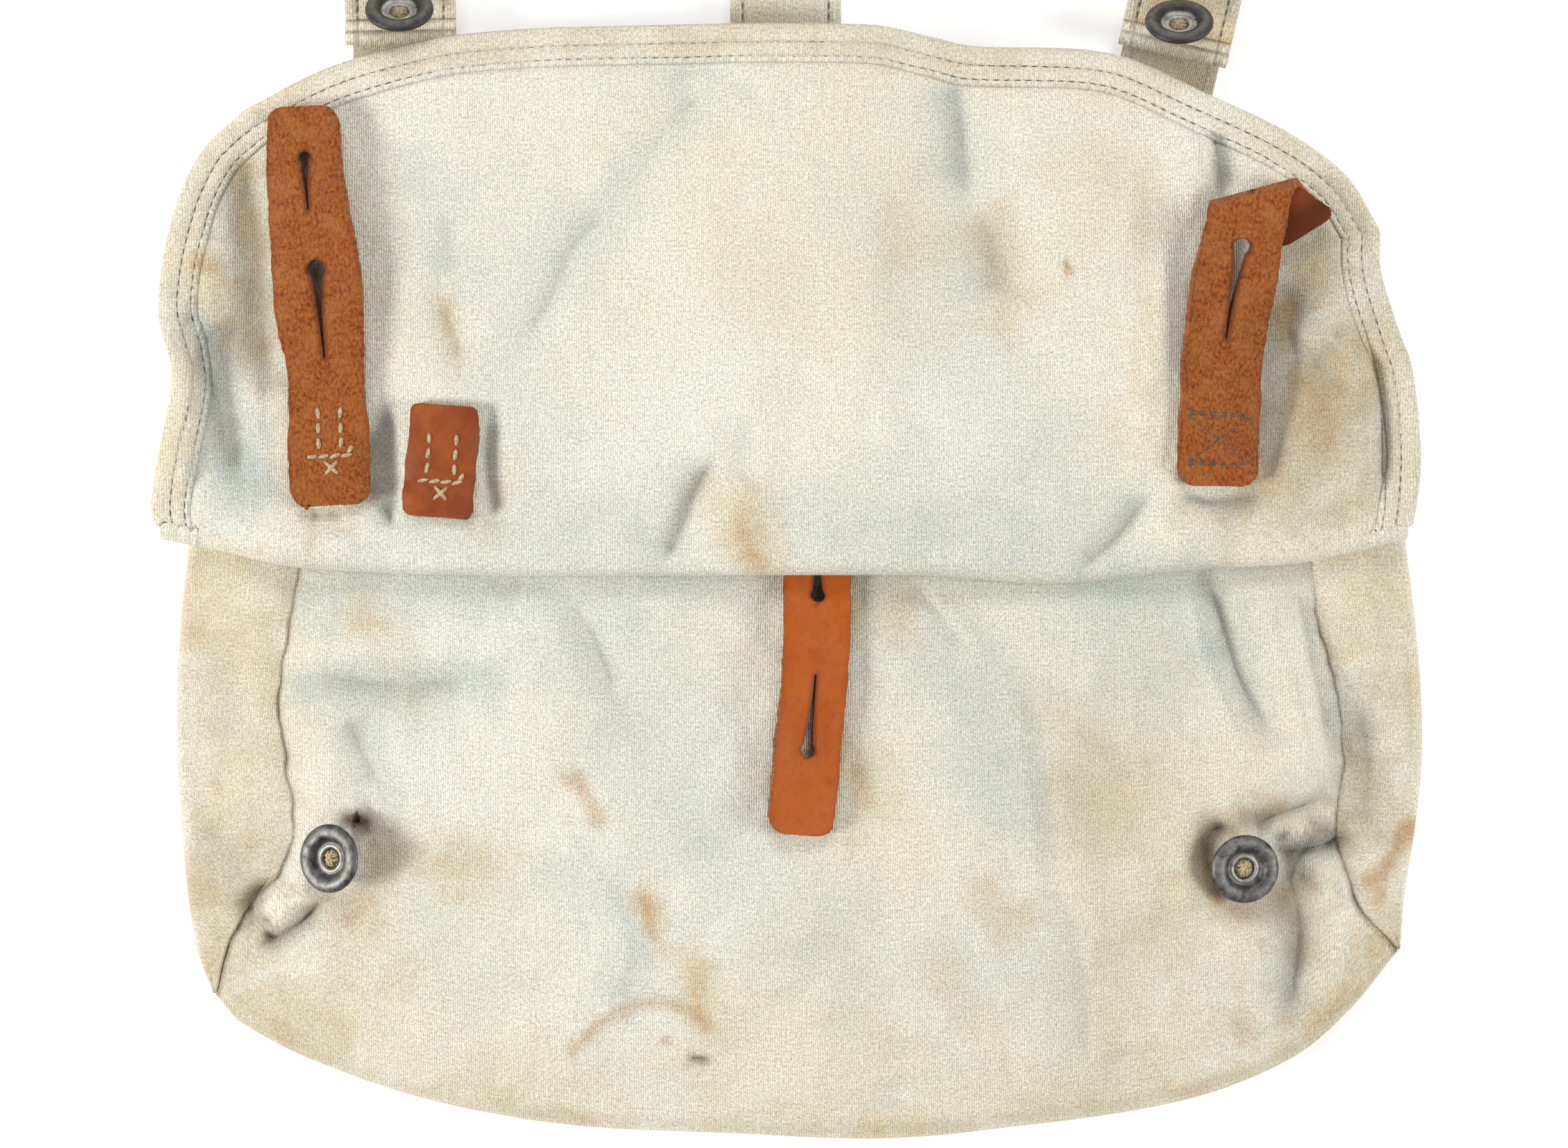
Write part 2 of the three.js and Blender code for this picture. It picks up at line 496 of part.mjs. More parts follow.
// A gusset runs from the back seam out to the bag's edge, over it, and in to the front seam.
function gusset(outline, seam, rows, inwards) {
  const { flat, roll, top } = GUSSET_STEPS;
  const points = [];
  for (const y of rows) {
    const edge = outline(y);
    const width = Math.abs(seam(y) - edge) - clearance / 2;
    const r = Math.min(rollRadius(edge, y), 0.4 * (width - cloth / 2));
    const low = cloth / 2 + liftAt(y);
    const row = [];
    const add = (inset, z) => row.push(new THREE.Vector3(edge + inwards * inset, y, z));
    for (let k = 0; k < flat; k++) add(mix(width, r + cloth / 2, k / flat), low);
    for (let k = 0; k <= roll; k++) {
      const turn = radians(mix(-90, 90, k / roll));
      add(r + cloth / 2 - r * Math.cos(turn), mix(low, cloth / 2 + 2 * r, (1 + Math.sin(turn)) / 2));
    }
    for (let k = 1; k <= top; k++) {
      const inset = mix(r + cloth / 2, width, k / top);
      const level = frontHeight(edge + inwards * inset, y);
      add(inset, mix(cloth / 2 + 2 * r, level, smooth((2 * inset) / width)));
    }
    points.push(row);
  }
  const last = points[0].length - 1;
  return wall(points, cloth / 2, { upright: (i, j) => j === 0 || j === last });
}

// One sheet from the back's upper edge over the mouth, down the front, and up again from the lower fold.
function flap() {
  const { across, top_fold, under, lower_fold, over } = FLAP_STEPS;
  const rootY = (u) => back_height - body_height * topDrop(u);
  const rootLeft = outlineLeft(rootY(0)) + 2 * edge_radius;
  const rootRight = outlineRight(rootY(1)) - 2 * edge_radius;
  const rootHeight = cloth / 2 + liftAt(back_height);
  const side = (table, sign) => {
    const out = column(table, "along", "out");
    const up = column(table, "along", "up");
    return (v) => ({ x: sign * half_flap * out(v), y: fold_height + flap_rise * up(v) });
  };
  const left = side(FLAP_LEFT, -1);
  const right = side(FLAP_RIGHT, 1);
  const low = (u) => ({ x: mix(foldLeft, foldRight, u), y: fold_height + flap_rise * foldUp(u) });
  const topUp = column(FLAP_TOP, "across", "up");
  const high = (u) => ({ x: mix(left(1).x, right(1).x, u), y: fold_height + flap_rise * topUp(u) });
  const hem = hem_width / (2 * half_flap);
  const columnAt = (j) => {
    if (j < 2) return [0, hem][j];
    if (j > across - 2) return [1 - hem, 1][j - across + 1];
    return mix(hem * 1.2, 1 - hem * 1.2, (j - 2) / (across - 4));
  };
  const rowAt = (k) => {
    const edge = hem_width / flap_rise;
    if (k > over - 2) return [1 - edge, 1][k - over + 1];
    return mix(0, 1 - edge * 1.2, k / (over - 2));
  };
  const first = top_fold + under + lower_fold;
  const points = [];
  for (let i = 0; i <= first + over; i++) {
    const row = [];
    for (let j = 0; j <= across; j++) {
      const u = columnAt(j);
      const top = { x: mix(rootLeft, rootRight, u), y: rootY(u) + clearance / 2 };
      const topRadius = (flapUnder(top.x, top.y) - rootHeight) / 2;
      const fold = low(u);
      const foldRadius = (flapOver(fold.x, fold.y) - flapUnder(fold.x, fold.y)) / 2;
      const straight = fold.y + foldRadius + cloth / 2;
      if (i < top_fold) {
        const turn = radians(mix(-90, 90, i / top_fold));
        const y = top.y + topRadius * Math.cos(turn);
        row.push(new THREE.Vector3(top.x, y, rootHeight + topRadius * (1 + Math.sin(turn))));
      } else if (i < top_fold + under) {
        const t = (i - top_fold) / under;
        const at = { x: mix(top.x, fold.x, t), y: mix(top.y, straight, t) };
        row.push(new THREE.Vector3(at.x, at.y, flapUnder(at.x, at.y)));
      } else if (i < first) {
        const turn = radians(mix(-90, 90, (i - top_fold - under) / lower_fold));
        const from = flapUnder(fold.x, straight);
        const to = flapOver(fold.x, straight);
        const z = mix(from, to, (1 + Math.sin(turn)) / 2);
        row.push(new THREE.Vector3(fold.x, straight - foldRadius * Math.cos(turn), z));
      } else {
        const from = (s) => ({ x: low(s).x, y: low(s).y + foldRadius + cloth / 2 });
        const v = rowAt(i - first);
        const at = patch(u, v, from, high, left(v), right(v));
        const y = Math.max(at.y, straight);
        row.push(new THREE.Vector3(at.x, y, flapOver(at.x, y)));
      }
    }
    points.push(row);
  }
  const hemmed = (i, j) => i > first && (j < 2 || j > across - 2 || i > first + over - 2);
  return wall(points, cloth / 2, { above: (i, j) => (hemmed(i, j) ? hem_step : 0) });
}

// Rows along a strip of leather: its corner rounding, its buttonholes and rows between them at
// spacing(along).
function stripRows(length, corner, slots, spacing) {
  const ends = [0, 0.3 * corner, corner];
  const rows = [...ends, ...ends.map((d) => length - d)];
  for (const slot of slots) {
    const r = (slot.size * slot_eye) / 2;
    rows.push(slot.far * length, ...[-1, -0.7, 0, 0.7, 1].map((k) => slot.eye * length + k * r));
  }
  for (let at = spacing(0); at < length; at += spacing(at)) {
    const step = spacing(at);
    if (rows.every((row) => Math.abs(row - at) > step / 2)) rows.push(at);
  }
  return rows.sort((a, b) => a - b);
}

// Half the width of a buttonhole at a distance along the strip, or 0 outside every one.
function slotHalf(slots, length, at) {
  for (const slot of slots) {
    const r = (slot.size * slot_eye) / 2;
    const eye = slot.eye * length;
    const far = slot.far * length;
    if (at < far - 1e-6 || at > eye + r + 1e-6) continue;
    const round = Math.sqrt(Math.max(0, r * r - (at - eye) ** 2));
    const slit = at <= eye ? mix(slot_gap / 2, 0.75 * r, (at - far) / (eye - far)) : 0;
    return Math.max(round, slit, slot_gap / 2);
  }
  return 0;
}

// A strip of leather along place(along, aside), with rounded corners and buttonholes. wideAt(s) is a share
// of width.
function strip(length, width, corner, slots, spacing, wideAt, place) {
  const rows = stripRows(length, corner, slots, spacing);
  const halfAt = (at) => {
    const d = Math.min(at, length - at);
    const round = d >= corner ? 0 : corner - Math.sqrt(Math.max(0, corner ** 2 - (corner - d) ** 2));
    return (wideAt(at / length) * width) / 2 - round;
  };
  const points = rows.map((at) => {
    const half = halfAt(at);
    const slot = slotHalf(slots, length, at) || slot_gap / 2;
    const offsets = [-half, -mix(slot, half, 0.5), -slot, slot, mix(slot, half, 0.5), half];
    return offsets.map((aside) => place(at, aside));
  });
  const middle = (i) => (rows[i] + rows[i + 1]) / 2;
  const open = (i, j) => j === 2 && slotHalf(slots, length, middle(i)) > 0;
  return wall(points, leather / 2, { open });
}

// How a tab lies on the cloth along its route. surface(x, y) is the middle of the cloth under it.
function tabRoute(route, surface, thicker = 0) {
  const read = (name) => column(route, "along", name);
  const [x, y, lift, lean] = ["x", "y", "lift", "lean"].map(read);
  const centre = (s) => new THREE.Vector2(x(s) * half_body, y(s) * body_height);
  const ahead = (s) => centre(s + 0.02).sub(centre(s - 0.02)).normalize();
  const place = (along, aside) => {
    const s = along / tab_length;
    const forward = ahead(Math.min(0.98, Math.max(0.02, s)));
    const at = centre(s).add(new THREE.Vector2(forward.y, -forward.x).multiplyScalar(aside));
    const rest = cloth / 2 + thicker + 2 * clearance + leather / 2;
    const side = (-2 * aside * Math.sign(forward.y)) / tab_width;
    const z = surface(at.x, at.y) + rest + leather * (lift(s) + lean(s) * side);
    return new THREE.Vector3(at.x, at.y, z);
  };
  return { place, ahead, wideAt: read("wide") };
}

function tab(route, slots, surface, thicker = 0) {
  const { place, wideAt } = tabRoute(route, surface, thicker);
  return strip(tab_length, tab_width, tab_corner, slots, () => tab_length / TAB_ROWS, wideAt, place);
}

// The right tab's end is rolled under about an axis turned from square across the tab.
function rolledTab() {
  const { place, ahead, wideAt } = tabRoute(TAB_RIGHT, flapOver);
  const start = curl_start * tab_length;
  const origin = place(start, 0);
  const turn = radians(curl_turn);
  const forward = new THREE.Vector3(...ahead(curl_start), 0);
  forward.applyAxisAngle(new THREE.Vector3(0, 0, 1), turn);
  const axis = new THREE.Vector3(forward.y, -forward.x, 0);
  const rolled = (along, aside) => {
    const past = (along - start) * Math.cos(turn) - aside * Math.sin(turn);
    const across = (along - start) * Math.sin(turn) + aside * Math.cos(turn);
    const angle = Math.min(Math.max(0, past) / curl_radius, Math.PI);
    const beyond = Math.max(0, past) - curl_radius * angle;
    const reach = past < 0 ? past : curl_radius * Math.sin(angle) - beyond;
    const bent = origin.clone().addScaledVector(axis, across).addScaledVector(forward, reach);
    bent.z -= curl_radius * (1 - Math.cos(angle));
    return place(along, aside).lerp(bent, smooth((2 * past) / tab_width + 1));
  };
  const spacing = (at) => (at < start - tab_width / 2 ? tab_length / TAB_ROWS : curl_radius / 2);
  return strip(tab_length, tab_width, tab_corner, OUTER_SLOTS, spacing, wideAt, rolled);
}

function leatherPatch() {
  const turn = radians(PATCH_PLACE.turn);
  const place = (along, aside) => {
    const up = along - patch_length / 2;
    const x = PATCH_PLACE.x * half_body + aside * Math.cos(turn) - up * Math.sin(turn);
    const y = PATCH_PLACE.y * body_height + aside * Math.sin(turn) + up * Math.cos(turn);
    return new THREE.Vector3(x, y, flapOver(x, y) + cloth / 2 + 2 * clearance + leather / 2);
  };
  return strip(patch_length, patch_width, patch_corner, [], () => patch_length / 3, () => 1, place);
}

// A dished disc with a rolled rim and a raised ring around its hole; its underside is at z = 0.
function button() {
  const R = button_diameter / 2;
  const rim = 0.9 * button_wall;
  const hole = thread_diameter / 2 + clearance;
  const profile = [
    [hole, 0],
    [0.6 * R, 0],
    [R - 1.6 * rim, button_dish * 0.45],
    [R, button_dish * 0.75],
    [R, button_dish + 0.7 * button_wall],
    [R - 0.7 * rim, button_dish + button_wall],
    [R - 1.7 * rim, button_dish + 0.3 * button_wall],
    [0.62 * R, button_wall],
    [hole + 0.7 * button_wall, 1.1 * button_wall],
    [hole + 0.3 * button_wall, 1.5 * button_wall],
    [hole, 1.2 * button_wall],
    [hole, 0],
  ];
  const geometry = new THREE.LatheGeometry(profile.map((p) => new THREE.Vector2(...p)), BUTTON_SIDES);
  return geometry.rotateX(Math.PI / 2);
}

// Turns a button's pieces by tilt so that they face a direction in plan, and moves them to a point.
function fasten(geometry, { tilt, towards }, at) {
  const turn = new THREE.Matrix4().makeRotationZ(radians(towards));
  const lean = new THREE.Matrix4().makeRotationY(radians(tilt));
  const back = new THREE.Matrix4().makeRotationZ(radians(-towards));
  return geometry.applyMatrix4(turn.multiply(lean).multiply(back)).translate(...at);
}

// The thread that holds a button: from a foot on the cloth, face(x, y), to just above the button's ring.
function thread(pose, at, face) {
  const r = thread_diameter / 2;
  const top = 1.6 * button_wall;
  const foot = 1;
  const shoulder = top + 0.3 * button_wall;
  const profile = [
    [0, -foot],
    [r, -foot],
    [r, 0],
    [r, top],
    [0.6 * r, shoulder],
    [0, top + 0.35 * button_wall],
  ];
  const section = profile.map((p) => new THREE.Vector2(...p));
  const geometry = new THREE.LatheGeometry(section, THREAD_SIDES).rotateX(Math.PI / 2);
  const upright = geometry.attributes.position.clone();
  fasten(geometry, pose, at);
  const place = geometry.attributes.position;
  for (let i = 0; i < upright.count; i++) {
    const x = at[0] + upright.getX(i);
    const y = at[1] + upright.getY(i);
    if (upright.getZ(i) < -foot / 2) place.setXYZ(i, x, y, face(x, y) + 2 * clearance);
  }
  return geometry;
}

// A button and its thread standing on cloth whose upper face is at face(x, y).
function buttonOn(pose, x, y, face) {
  const at = [x, y, face(x, y) + (button_diameter / 2) * Math.sin(radians(pose.tilt)) + button_stand];
  return { button: fasten(button(), pose, at), thread: thread(pose, at, face) };
}

function frontButton(place) {
  const x = place.x * half_body;
  const y = place.y * body_height;
  return buttonOn(place, x, y, (px, py) => frontHeight(px, py) + cloth / 2);
}

// A belt strap: up from its sewn end, over a fold, and down again to its free end. Its route is a list of
// points along and above the surface.
function strapRoute(top, end, endHeight) {
  const low = strap_cloth / 2;
  const bend = top - loop_radius - strap_cloth / 2;
  const route = [[strap_root, low], [mix(strap_root, bend, 0.5), low], [bend, low]];
  for (let k = 1; k < 6; k++) {
    const turn = radians(mix(-90, 90, k / 6));
    route.push([bend + loop_radius * Math.cos(turn), low + loop_radius * (1 + Math.sin(turn))]);
  }
  const high = low + 2 * loop_radius;
  for (let k = 0; k <= 4; k++) route.push([mix(bend, end, k / 4), mix(high, endHeight, smooth(k / 4))]);
  return route;
}

// A point on a leaning strap: aside of its middle line and at a height along it.
function onStrap(place, aside, y) {
  const lean = radians(place.lean);
  const up = y - strap_root;
  const x = place.x * half_body + aside * Math.cos(lean) - up * Math.sin(lean);
  return [x, strap_root + aside * Math.sin(lean) + up * Math.cos(lean)];
}

function strap(place, top, end, endHeight) {
  const shares = [-0.5, -0.25, 0.25, 0.5];
  const points = strapRoute(top, end - place.drop * strap_width, endHeight).map(([y, z]) =>
    shares.map((k) => new THREE.Vector3(...onStrap(place, k * strap_width, y), z)),
  );
  return wall(points, strap_cloth / 2);
}

const loopEnd = strap_cloth / 2 + 2 * loop_radius; // height of a buttoned end's middle

function loopButton(place) {
  const pose = { tilt: loop_button_tilt, towards: 90 };
  const [x, y] = onStrap(place, 0, free_end_height + loop_button_above - place.drop * strap_width);
  return buttonOn(pose, x, y, () => loopEnd + strap_cloth / 2);
}

const canvas = { color: 0xd9d6ca, roughness: 0.95, metalness: 0 };
const webbing = { color: 0xd2cdbd, roughness: 0.95, metalness: 0 };
const rough = { color: 0xa56a3c, roughness: 0.9, metalness: 0 };
const grain = { color: 0x8d4f2c, roughness: 0.6, metalness: 0 };
const pewter = { color: 0x6d6e70, roughness: 0.45, metalness: 0.9 };
const linen = { color: 0xb9b2a0, roughness: 0.95, metalness: 0 };

const group = new THREE.Group();
group.name = "haversack";

function add(name, geometry, look) {
  const mesh = new THREE.Mesh(geometry, new THREE.MeshStandardMaterial(look));
  mesh.name = name;
  group.add(mesh);
}

const left = frontButton(BUTTON_LEFT);
const right = frontButton(BUTTON_RIGHT);
const loopLeft = loopButton(STRAP_LEFT);
const loopRight = loopButton(STRAP_RIGHT);
const centreEnd = back_height + flapUnder(0, back_height) / 2 + 3 * cloth;
const centreEndHeight = strap_cloth * 1.5 + clearance;

add("back_panel", backPanel(), canvas);
add("front_panel", frontPanel(), canvas);
add("gusset_left", gusset(outlineLeft, seamLeft, rowsLeft, 1), canvas);
add("gusset_right", gusset(outlineRight, seamRight, rowsRight, -1), canvas);
add("flap", flap(), canvas);
add("belt_loop_left", strap(STRAP_LEFT, strap_top, free_end_height, loopEnd), webbing);
add("belt_loop_centre", strap(STRAP_CENTRE, centre_strap_top, centreEnd, centreEndHeight), webbing);
add("belt_loop_right", strap(STRAP_RIGHT, strap_top, free_end_height, loopEnd), webbing);
add("tab_left", tab(TAB_LEFT, OUTER_SLOTS, flapOver, hem_step), rough);
add("tab_centre", tab(TAB_CENTRE, CENTRE_SLOTS, frontHeight), grain);
add("tab_right", rolledTab(), rough);
add("patch", leatherPatch(), grain);
add("button_left", left.button, pewter);
add("button_thread_left", left.thread, linen);
add("button_right", right.button, pewter);
add("button_thread_right", right.thread, linen);
add("loop_button_left", loopLeft.button, pewter);
add("loop_thread_left", loopLeft.thread, linen);
add("loop_button_right", loopRight.button, pewter);
add("loop_thread_right", loopRight.thread, linen);

// The middle of the bottom is the origin.
const box = new THREE.Box3().setFromObject(group);
const middle = box.getCenter(new THREE.Vector3());
group.traverse((node) => {
  if (node.isMesh) node.geometry.translate(-middle.x, -middle.y, -box.min.z);
});

export default group;
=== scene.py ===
# The looks of a canvas haversack that lies on its back with its flap folded up: woven cloth with folds, hems, seams
# and stains, leather button tabs, dished metal buttons, threads and stitches, then floor, lights and camera. Shapes
# are worked out in millimetres on the bag, x from its middle and y up from its bottom edge.
import functools
import math

import bmesh
import bpy
import numpy as np
from mathutils import Matrix, Vector, noise


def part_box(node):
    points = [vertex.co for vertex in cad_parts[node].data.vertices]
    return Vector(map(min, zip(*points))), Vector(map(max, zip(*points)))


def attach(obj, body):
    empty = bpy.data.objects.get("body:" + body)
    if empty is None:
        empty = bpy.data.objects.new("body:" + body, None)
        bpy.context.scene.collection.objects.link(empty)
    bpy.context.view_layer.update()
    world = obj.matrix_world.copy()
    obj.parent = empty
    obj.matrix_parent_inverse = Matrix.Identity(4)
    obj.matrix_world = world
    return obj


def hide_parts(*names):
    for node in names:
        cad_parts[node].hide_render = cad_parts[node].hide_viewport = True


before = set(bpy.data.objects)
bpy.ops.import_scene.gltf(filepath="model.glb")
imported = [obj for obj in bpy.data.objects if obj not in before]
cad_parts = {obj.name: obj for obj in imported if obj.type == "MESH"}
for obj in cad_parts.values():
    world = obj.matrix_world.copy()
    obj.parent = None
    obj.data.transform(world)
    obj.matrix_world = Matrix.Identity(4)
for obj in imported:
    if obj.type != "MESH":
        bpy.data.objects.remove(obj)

bl_info = {
    "name": "Canvas haversack",
    "version": (1, 0, 0),
    "blender": (4, 5, 0),
    "location": "3D View > Sidebar > Haversack",
    "description": "Cloth, leather, metal and thread of a canvas haversack on a packed frame",
    "category": "Object",
}

MM = 0.001
GRID_STEP = 0.8  # between the points of a surface's grid of heights
FOLD_STRENGTH = 2.15  # how many times deeper a fold is laid than its row says
FOLD_EDGE = 1.25  # how sharply a fold ends at its sides
# The dark line along a seam is painted shade in the seam's gap, with soil.
SEAM_SHADE_AND_SOIL = 0.8  # reach of the dark line along a seam
STRAP_SEAM = 0.395  # from a strap's middle to its stitches, as a share of its width
STRAP_RISE = 40  # rows of a strap up to its bend
STRAP_BEND = 12  # rows round the bend
LEATHER_ROW = 1.6  # between the rows of a leather tab
PATCH_ROW = 1.2
CURL_ROW = 0.9
LOT = 1200  # vertices after which a lot of stitches is put with the rest
MACHINE_THREAD = 0.17
BOX_THREAD = 0.3
BOX_GAP = 0.7
HAND_THREAD = 0.6
HAND_CROSS = 2.0

# The photograph: its size in pixels, what a pixel covers on the bag in millimetres, and the pixel column and row
# of the bag's middle line and bottom edge.
PHOTO_SIZE = (2257, 1652)
PHOTO_PIXEL = 0.184
PHOTO_MIDDLE = 1151.5
PHOTO_BOTTOM = 1641

# The bag's sizes, as in the frame's solids
CLEARANCE = 0.3
BODY_WIDTH = 331
BODY_HEIGHT = 283
MOUTH_HEIGHT = 262
BACK_HEIGHT = 268
GUSSET_FACE = 31
EDGE_RADIUS = 3
PLUMP = 13.5
EDGE_SLOPE = 42
SEAM_DIP = 2.4
SEAM_REACH = 5
FLAP_RISE = 145
FOLD_HEIGHT = 149.5
FLAP_SLACK = 4
FLAP_DROOP = 7
TAB_WIDTH = 20.5
TAB_LENGTH = 104
TAB_CORNER = 4
TAB_SIZE = (TAB_LENGTH, TAB_WIDTH, TAB_CORNER)
SLOT_EYE = 4.8
CURL_RADIUS = 3.6
CURL_START = 0.7
CURL_TURN = 27
PATCH_WIDTH = 17.6
PATCH_LENGTH = 29.6
PATCH_CORNER = 2
BUTTON_DIAMETER = 18.2
BUTTON_WALL = 1.2
BUTTON_DISH = 2.2
BUTTON_STAND = 1.4
THREAD_DIAMETER = 4.4
STRAP_WIDTH = 29
STRAP_ROOT = 246
STRAP_TOP = 344
CENTRE_STRAP_TOP = 336
LOOP_RADIUS = 4.4
FREE_END_HEIGHT = 289.5
LOOP_BUTTON_ABOVE = 6.5
CLOTH = 1.5
STRAP_CLOTH = 2
LEATHER = 2.6

HALF_BODY = BODY_WIDTH / 2
CORNER_RADIUS = (CLOTH + CLEARANCE) / 2
BACK_LIFT = STRAP_CLOTH + CLEARANCE
LOOP_END = STRAP_CLOTH / 2 + 2 * LOOP_RADIUS


def table(columns, *rows):
    """A small table with named columns, one row for each section."""
    return {name: np.array([row[k] for row in rows], float) for k, name in enumerate(columns.split())}


# Side outlines and gusset widths: up is a share of BODY_HEIGHT, left and right of half the body's width, and the
# gussets of GUSSET_FACE. In BACK_TOP and BOTTOM, drop and rise are shares of BODY_HEIGHT too.
SIDES = table(
    "up left right gusset_left gusset_right",
    (0.135, 0.941, 0.958, 0.03, 0.0),
    (0.176, 0.967, 0.964, 0.26, 0.03),
    (0.215, 0.979, 0.968, 0.48, 0.38),
    (0.25, 0.986, 0.976, 0.82, 0.53),
    (0.287, 0.991, 0.986, 0.97, 0.67),
    (0.352, 0.999, 0.998, 0.95, 0.7),
    (0.417, 1.0, 0.997, 0.9, 0.74),
    (0.482, 0.994, 0.988, 0.96, 0.84),
    (0.56, 0.981, 0.972, 1.0, 0.85),
    (0.78, 0.957, 0.928, 1.0, 0.86),
    (0.86, 0.948, 0.895, 1.0, 0.86),
    (1.0, 0.933, 0.86, 1.0, 0.86),
)
BACK_TOP = table(
    "across drop", (0, 0.028), (0.1, 0.006), (0.2, 0), (0.6, 0), (0.8, 0.03), (0.93, 0.07), (1, 0.09)
)
BOTTOM = table(
    "across rise",
    (0, 0.135), (0.02, 0.11), (0.09, 0.071), (0.184, 0.036), (0.3, 0.013), (0.44, 0.005),
    (0.557, 0), (0.65, 0.008), (0.813, 0.035), (0.907, 0.075), (0.96, 0.123), (1, 0.176),
)
# The turned-up flap: up is a share of FLAP_RISE above the lower fold, out of half the body's width.
FLAP_LEFT = table(
    "along out up",
    (0, 1.022, 0.067), (0.08, 1.034, 0.124), (0.2, 1.024, 0.213), (0.4, 1.002, 0.365),
    (0.56, 1.024, 0.492), (0.75, 0.997, 0.67), (0.87, 0.954, 0.772), (1, 0.888, 0.844),
)
FLAP_RIGHT = table(
    "along out up",
    (0, 0.97, 0.067), (0.1, 0.983, 0.124), (0.3, 0.99, 0.225), (0.55, 0.976, 0.378),
    (0.7, 0.953, 0.454), (0.88, 0.926, 0.56), (1, 0.925, 0.629),
)
FLAP_TOP = table(
    "across up",
    (0, 0.844), (0.066, 0.915), (0.127, 0.956), (0.188, 0.982), (0.286, 0.996), (0.55, 1.0), (0.61, 0.975),
    (0.64, 0.961), (0.764, 0.947), (0.849, 0.873), (0.923, 0.8), (0.973, 0.721), (1, 0.629),
)
FLAP_FOLD = table(
    "across up",
    (0, 0.067), (0.05, 0.044), (0.11, 0.015), (0.26, 0), (0.61, 0), (0.72, -0.014), (0.83, 0.011),
    (0.92, 0.025), (1, 0.067),
)
# Grid lines of the hem, in millimetres in from the edge of a hem of HEM_DRAWN
HEM_LINES = (0, 0.5, 1.1, 1.9, 2.9, 3.8, 4.3, 4.65, 5, 5.5, 6.6, 7.6, 8.1, 8.4, 8.8, 9.15, 9.5, 9.85, 10.4, 11.4)
HEM_DRAWN = 9.5
# Routes of the leather tabs from the sewn end, in shares: x of half the body's width, y of BODY_HEIGHT, along of
# TAB_LENGTH, wide of TAB_WIDTH, and of LEATHER lift, the rise over the cloth, and lean, that of the left edge.
TAB_LEFT = table(
    "along x y wide lift lean",
    (0, -0.746, 0.594, 1.0, 0, 0),
    (0.16, -0.751, 0.653, 1.03, 0, 0),
    (0.32, -0.754, 0.713, 0.96, 0.15, 0),
    (0.48, -0.763, 0.772, 1.1, 0.5, -0.3),
    (0.6, -0.769, 0.815, 1.1, 0.8, -0.5),
    (0.74, -0.781, 0.869, 1.0, 0.8, -0.6),
    (0.87, -0.788, 0.915, 0.95, 0.6, -0.4),
    (1, -0.791, 0.965, 0.9, 0.4, -0.2),
)
TAB_CENTRE = table(
    "along x y wide lift lean",
    (0, 0.027, 0.655, 0.9, 0, 0),
    (0.36, 0.028, 0.522, 0.87, 0, 0),
    (0.46, 0.027, 0.486, 0.86, 0.5, 0.5),
    (0.64, 0.021, 0.421, 0.83, 0.9, 0.8),
    (0.82, 0.009, 0.354, 0.84, 1.0, 0.9),
    (1, -0.001, 0.287, 0.82, 0.7, 0.6),
)
TAB_RIGHT = table(
    "along x y wide lift lean",
    (0, 0.666, 0.613, 1.04, 0, 0),
    (0.16, 0.667, 0.674, 1.02, 0, 0),
    (0.36, 0.675, 0.746, 1.02, 0.9, 0),
    (0.52, 0.692, 0.806, 1.07, 2.2, 0),
    (0.6, 0.702, 0.836, 1.03, 2.8, 0),
    (0.76, 0.721, 0.889, 1.0, 3.4, 0),
    (1, 0.755, 0.972, 0.92, 3.4, 0),
)
# Buttonholes: eye and far, the end of the slit, are shares of TAB_LENGTH, and size of SLOT_EYE.
OUTER_SLOTS = ({"eye": 0.596, "far": 0.37, "size": 1.0}, {"eye": 0.877, "far": 0.74, "size": 0.6})
CENTRE_SLOTS = ({"eye": 0.394, "far": 0.2, "size": 0.8}, {"eye": 0.788, "far": 0.6, "size": 0.8})

BUTTON_LEFT = {"x": -0.744, "y": 0.2647, "tilt": 32, "towards": 180}
BUTTON_RIGHT = {"x": 0.708, "y": 0.2555, "tilt": 12, "towards": -35}
LOOP_BUTTON = {"tilt": 50, "towards": 90}
PATCH_PLACE = {"x": -0.571, "y": 0.635, "turn": -4}
STRAP_LEFT = {"x": -0.634, "lean": 1, "drop": -0.05}
STRAP_CENTRE = {"x": -0.023, "lean": 0, "drop": 0}
STRAP_RIGHT = {"x": 0.538, "lean": -13, "drop": 0.02}

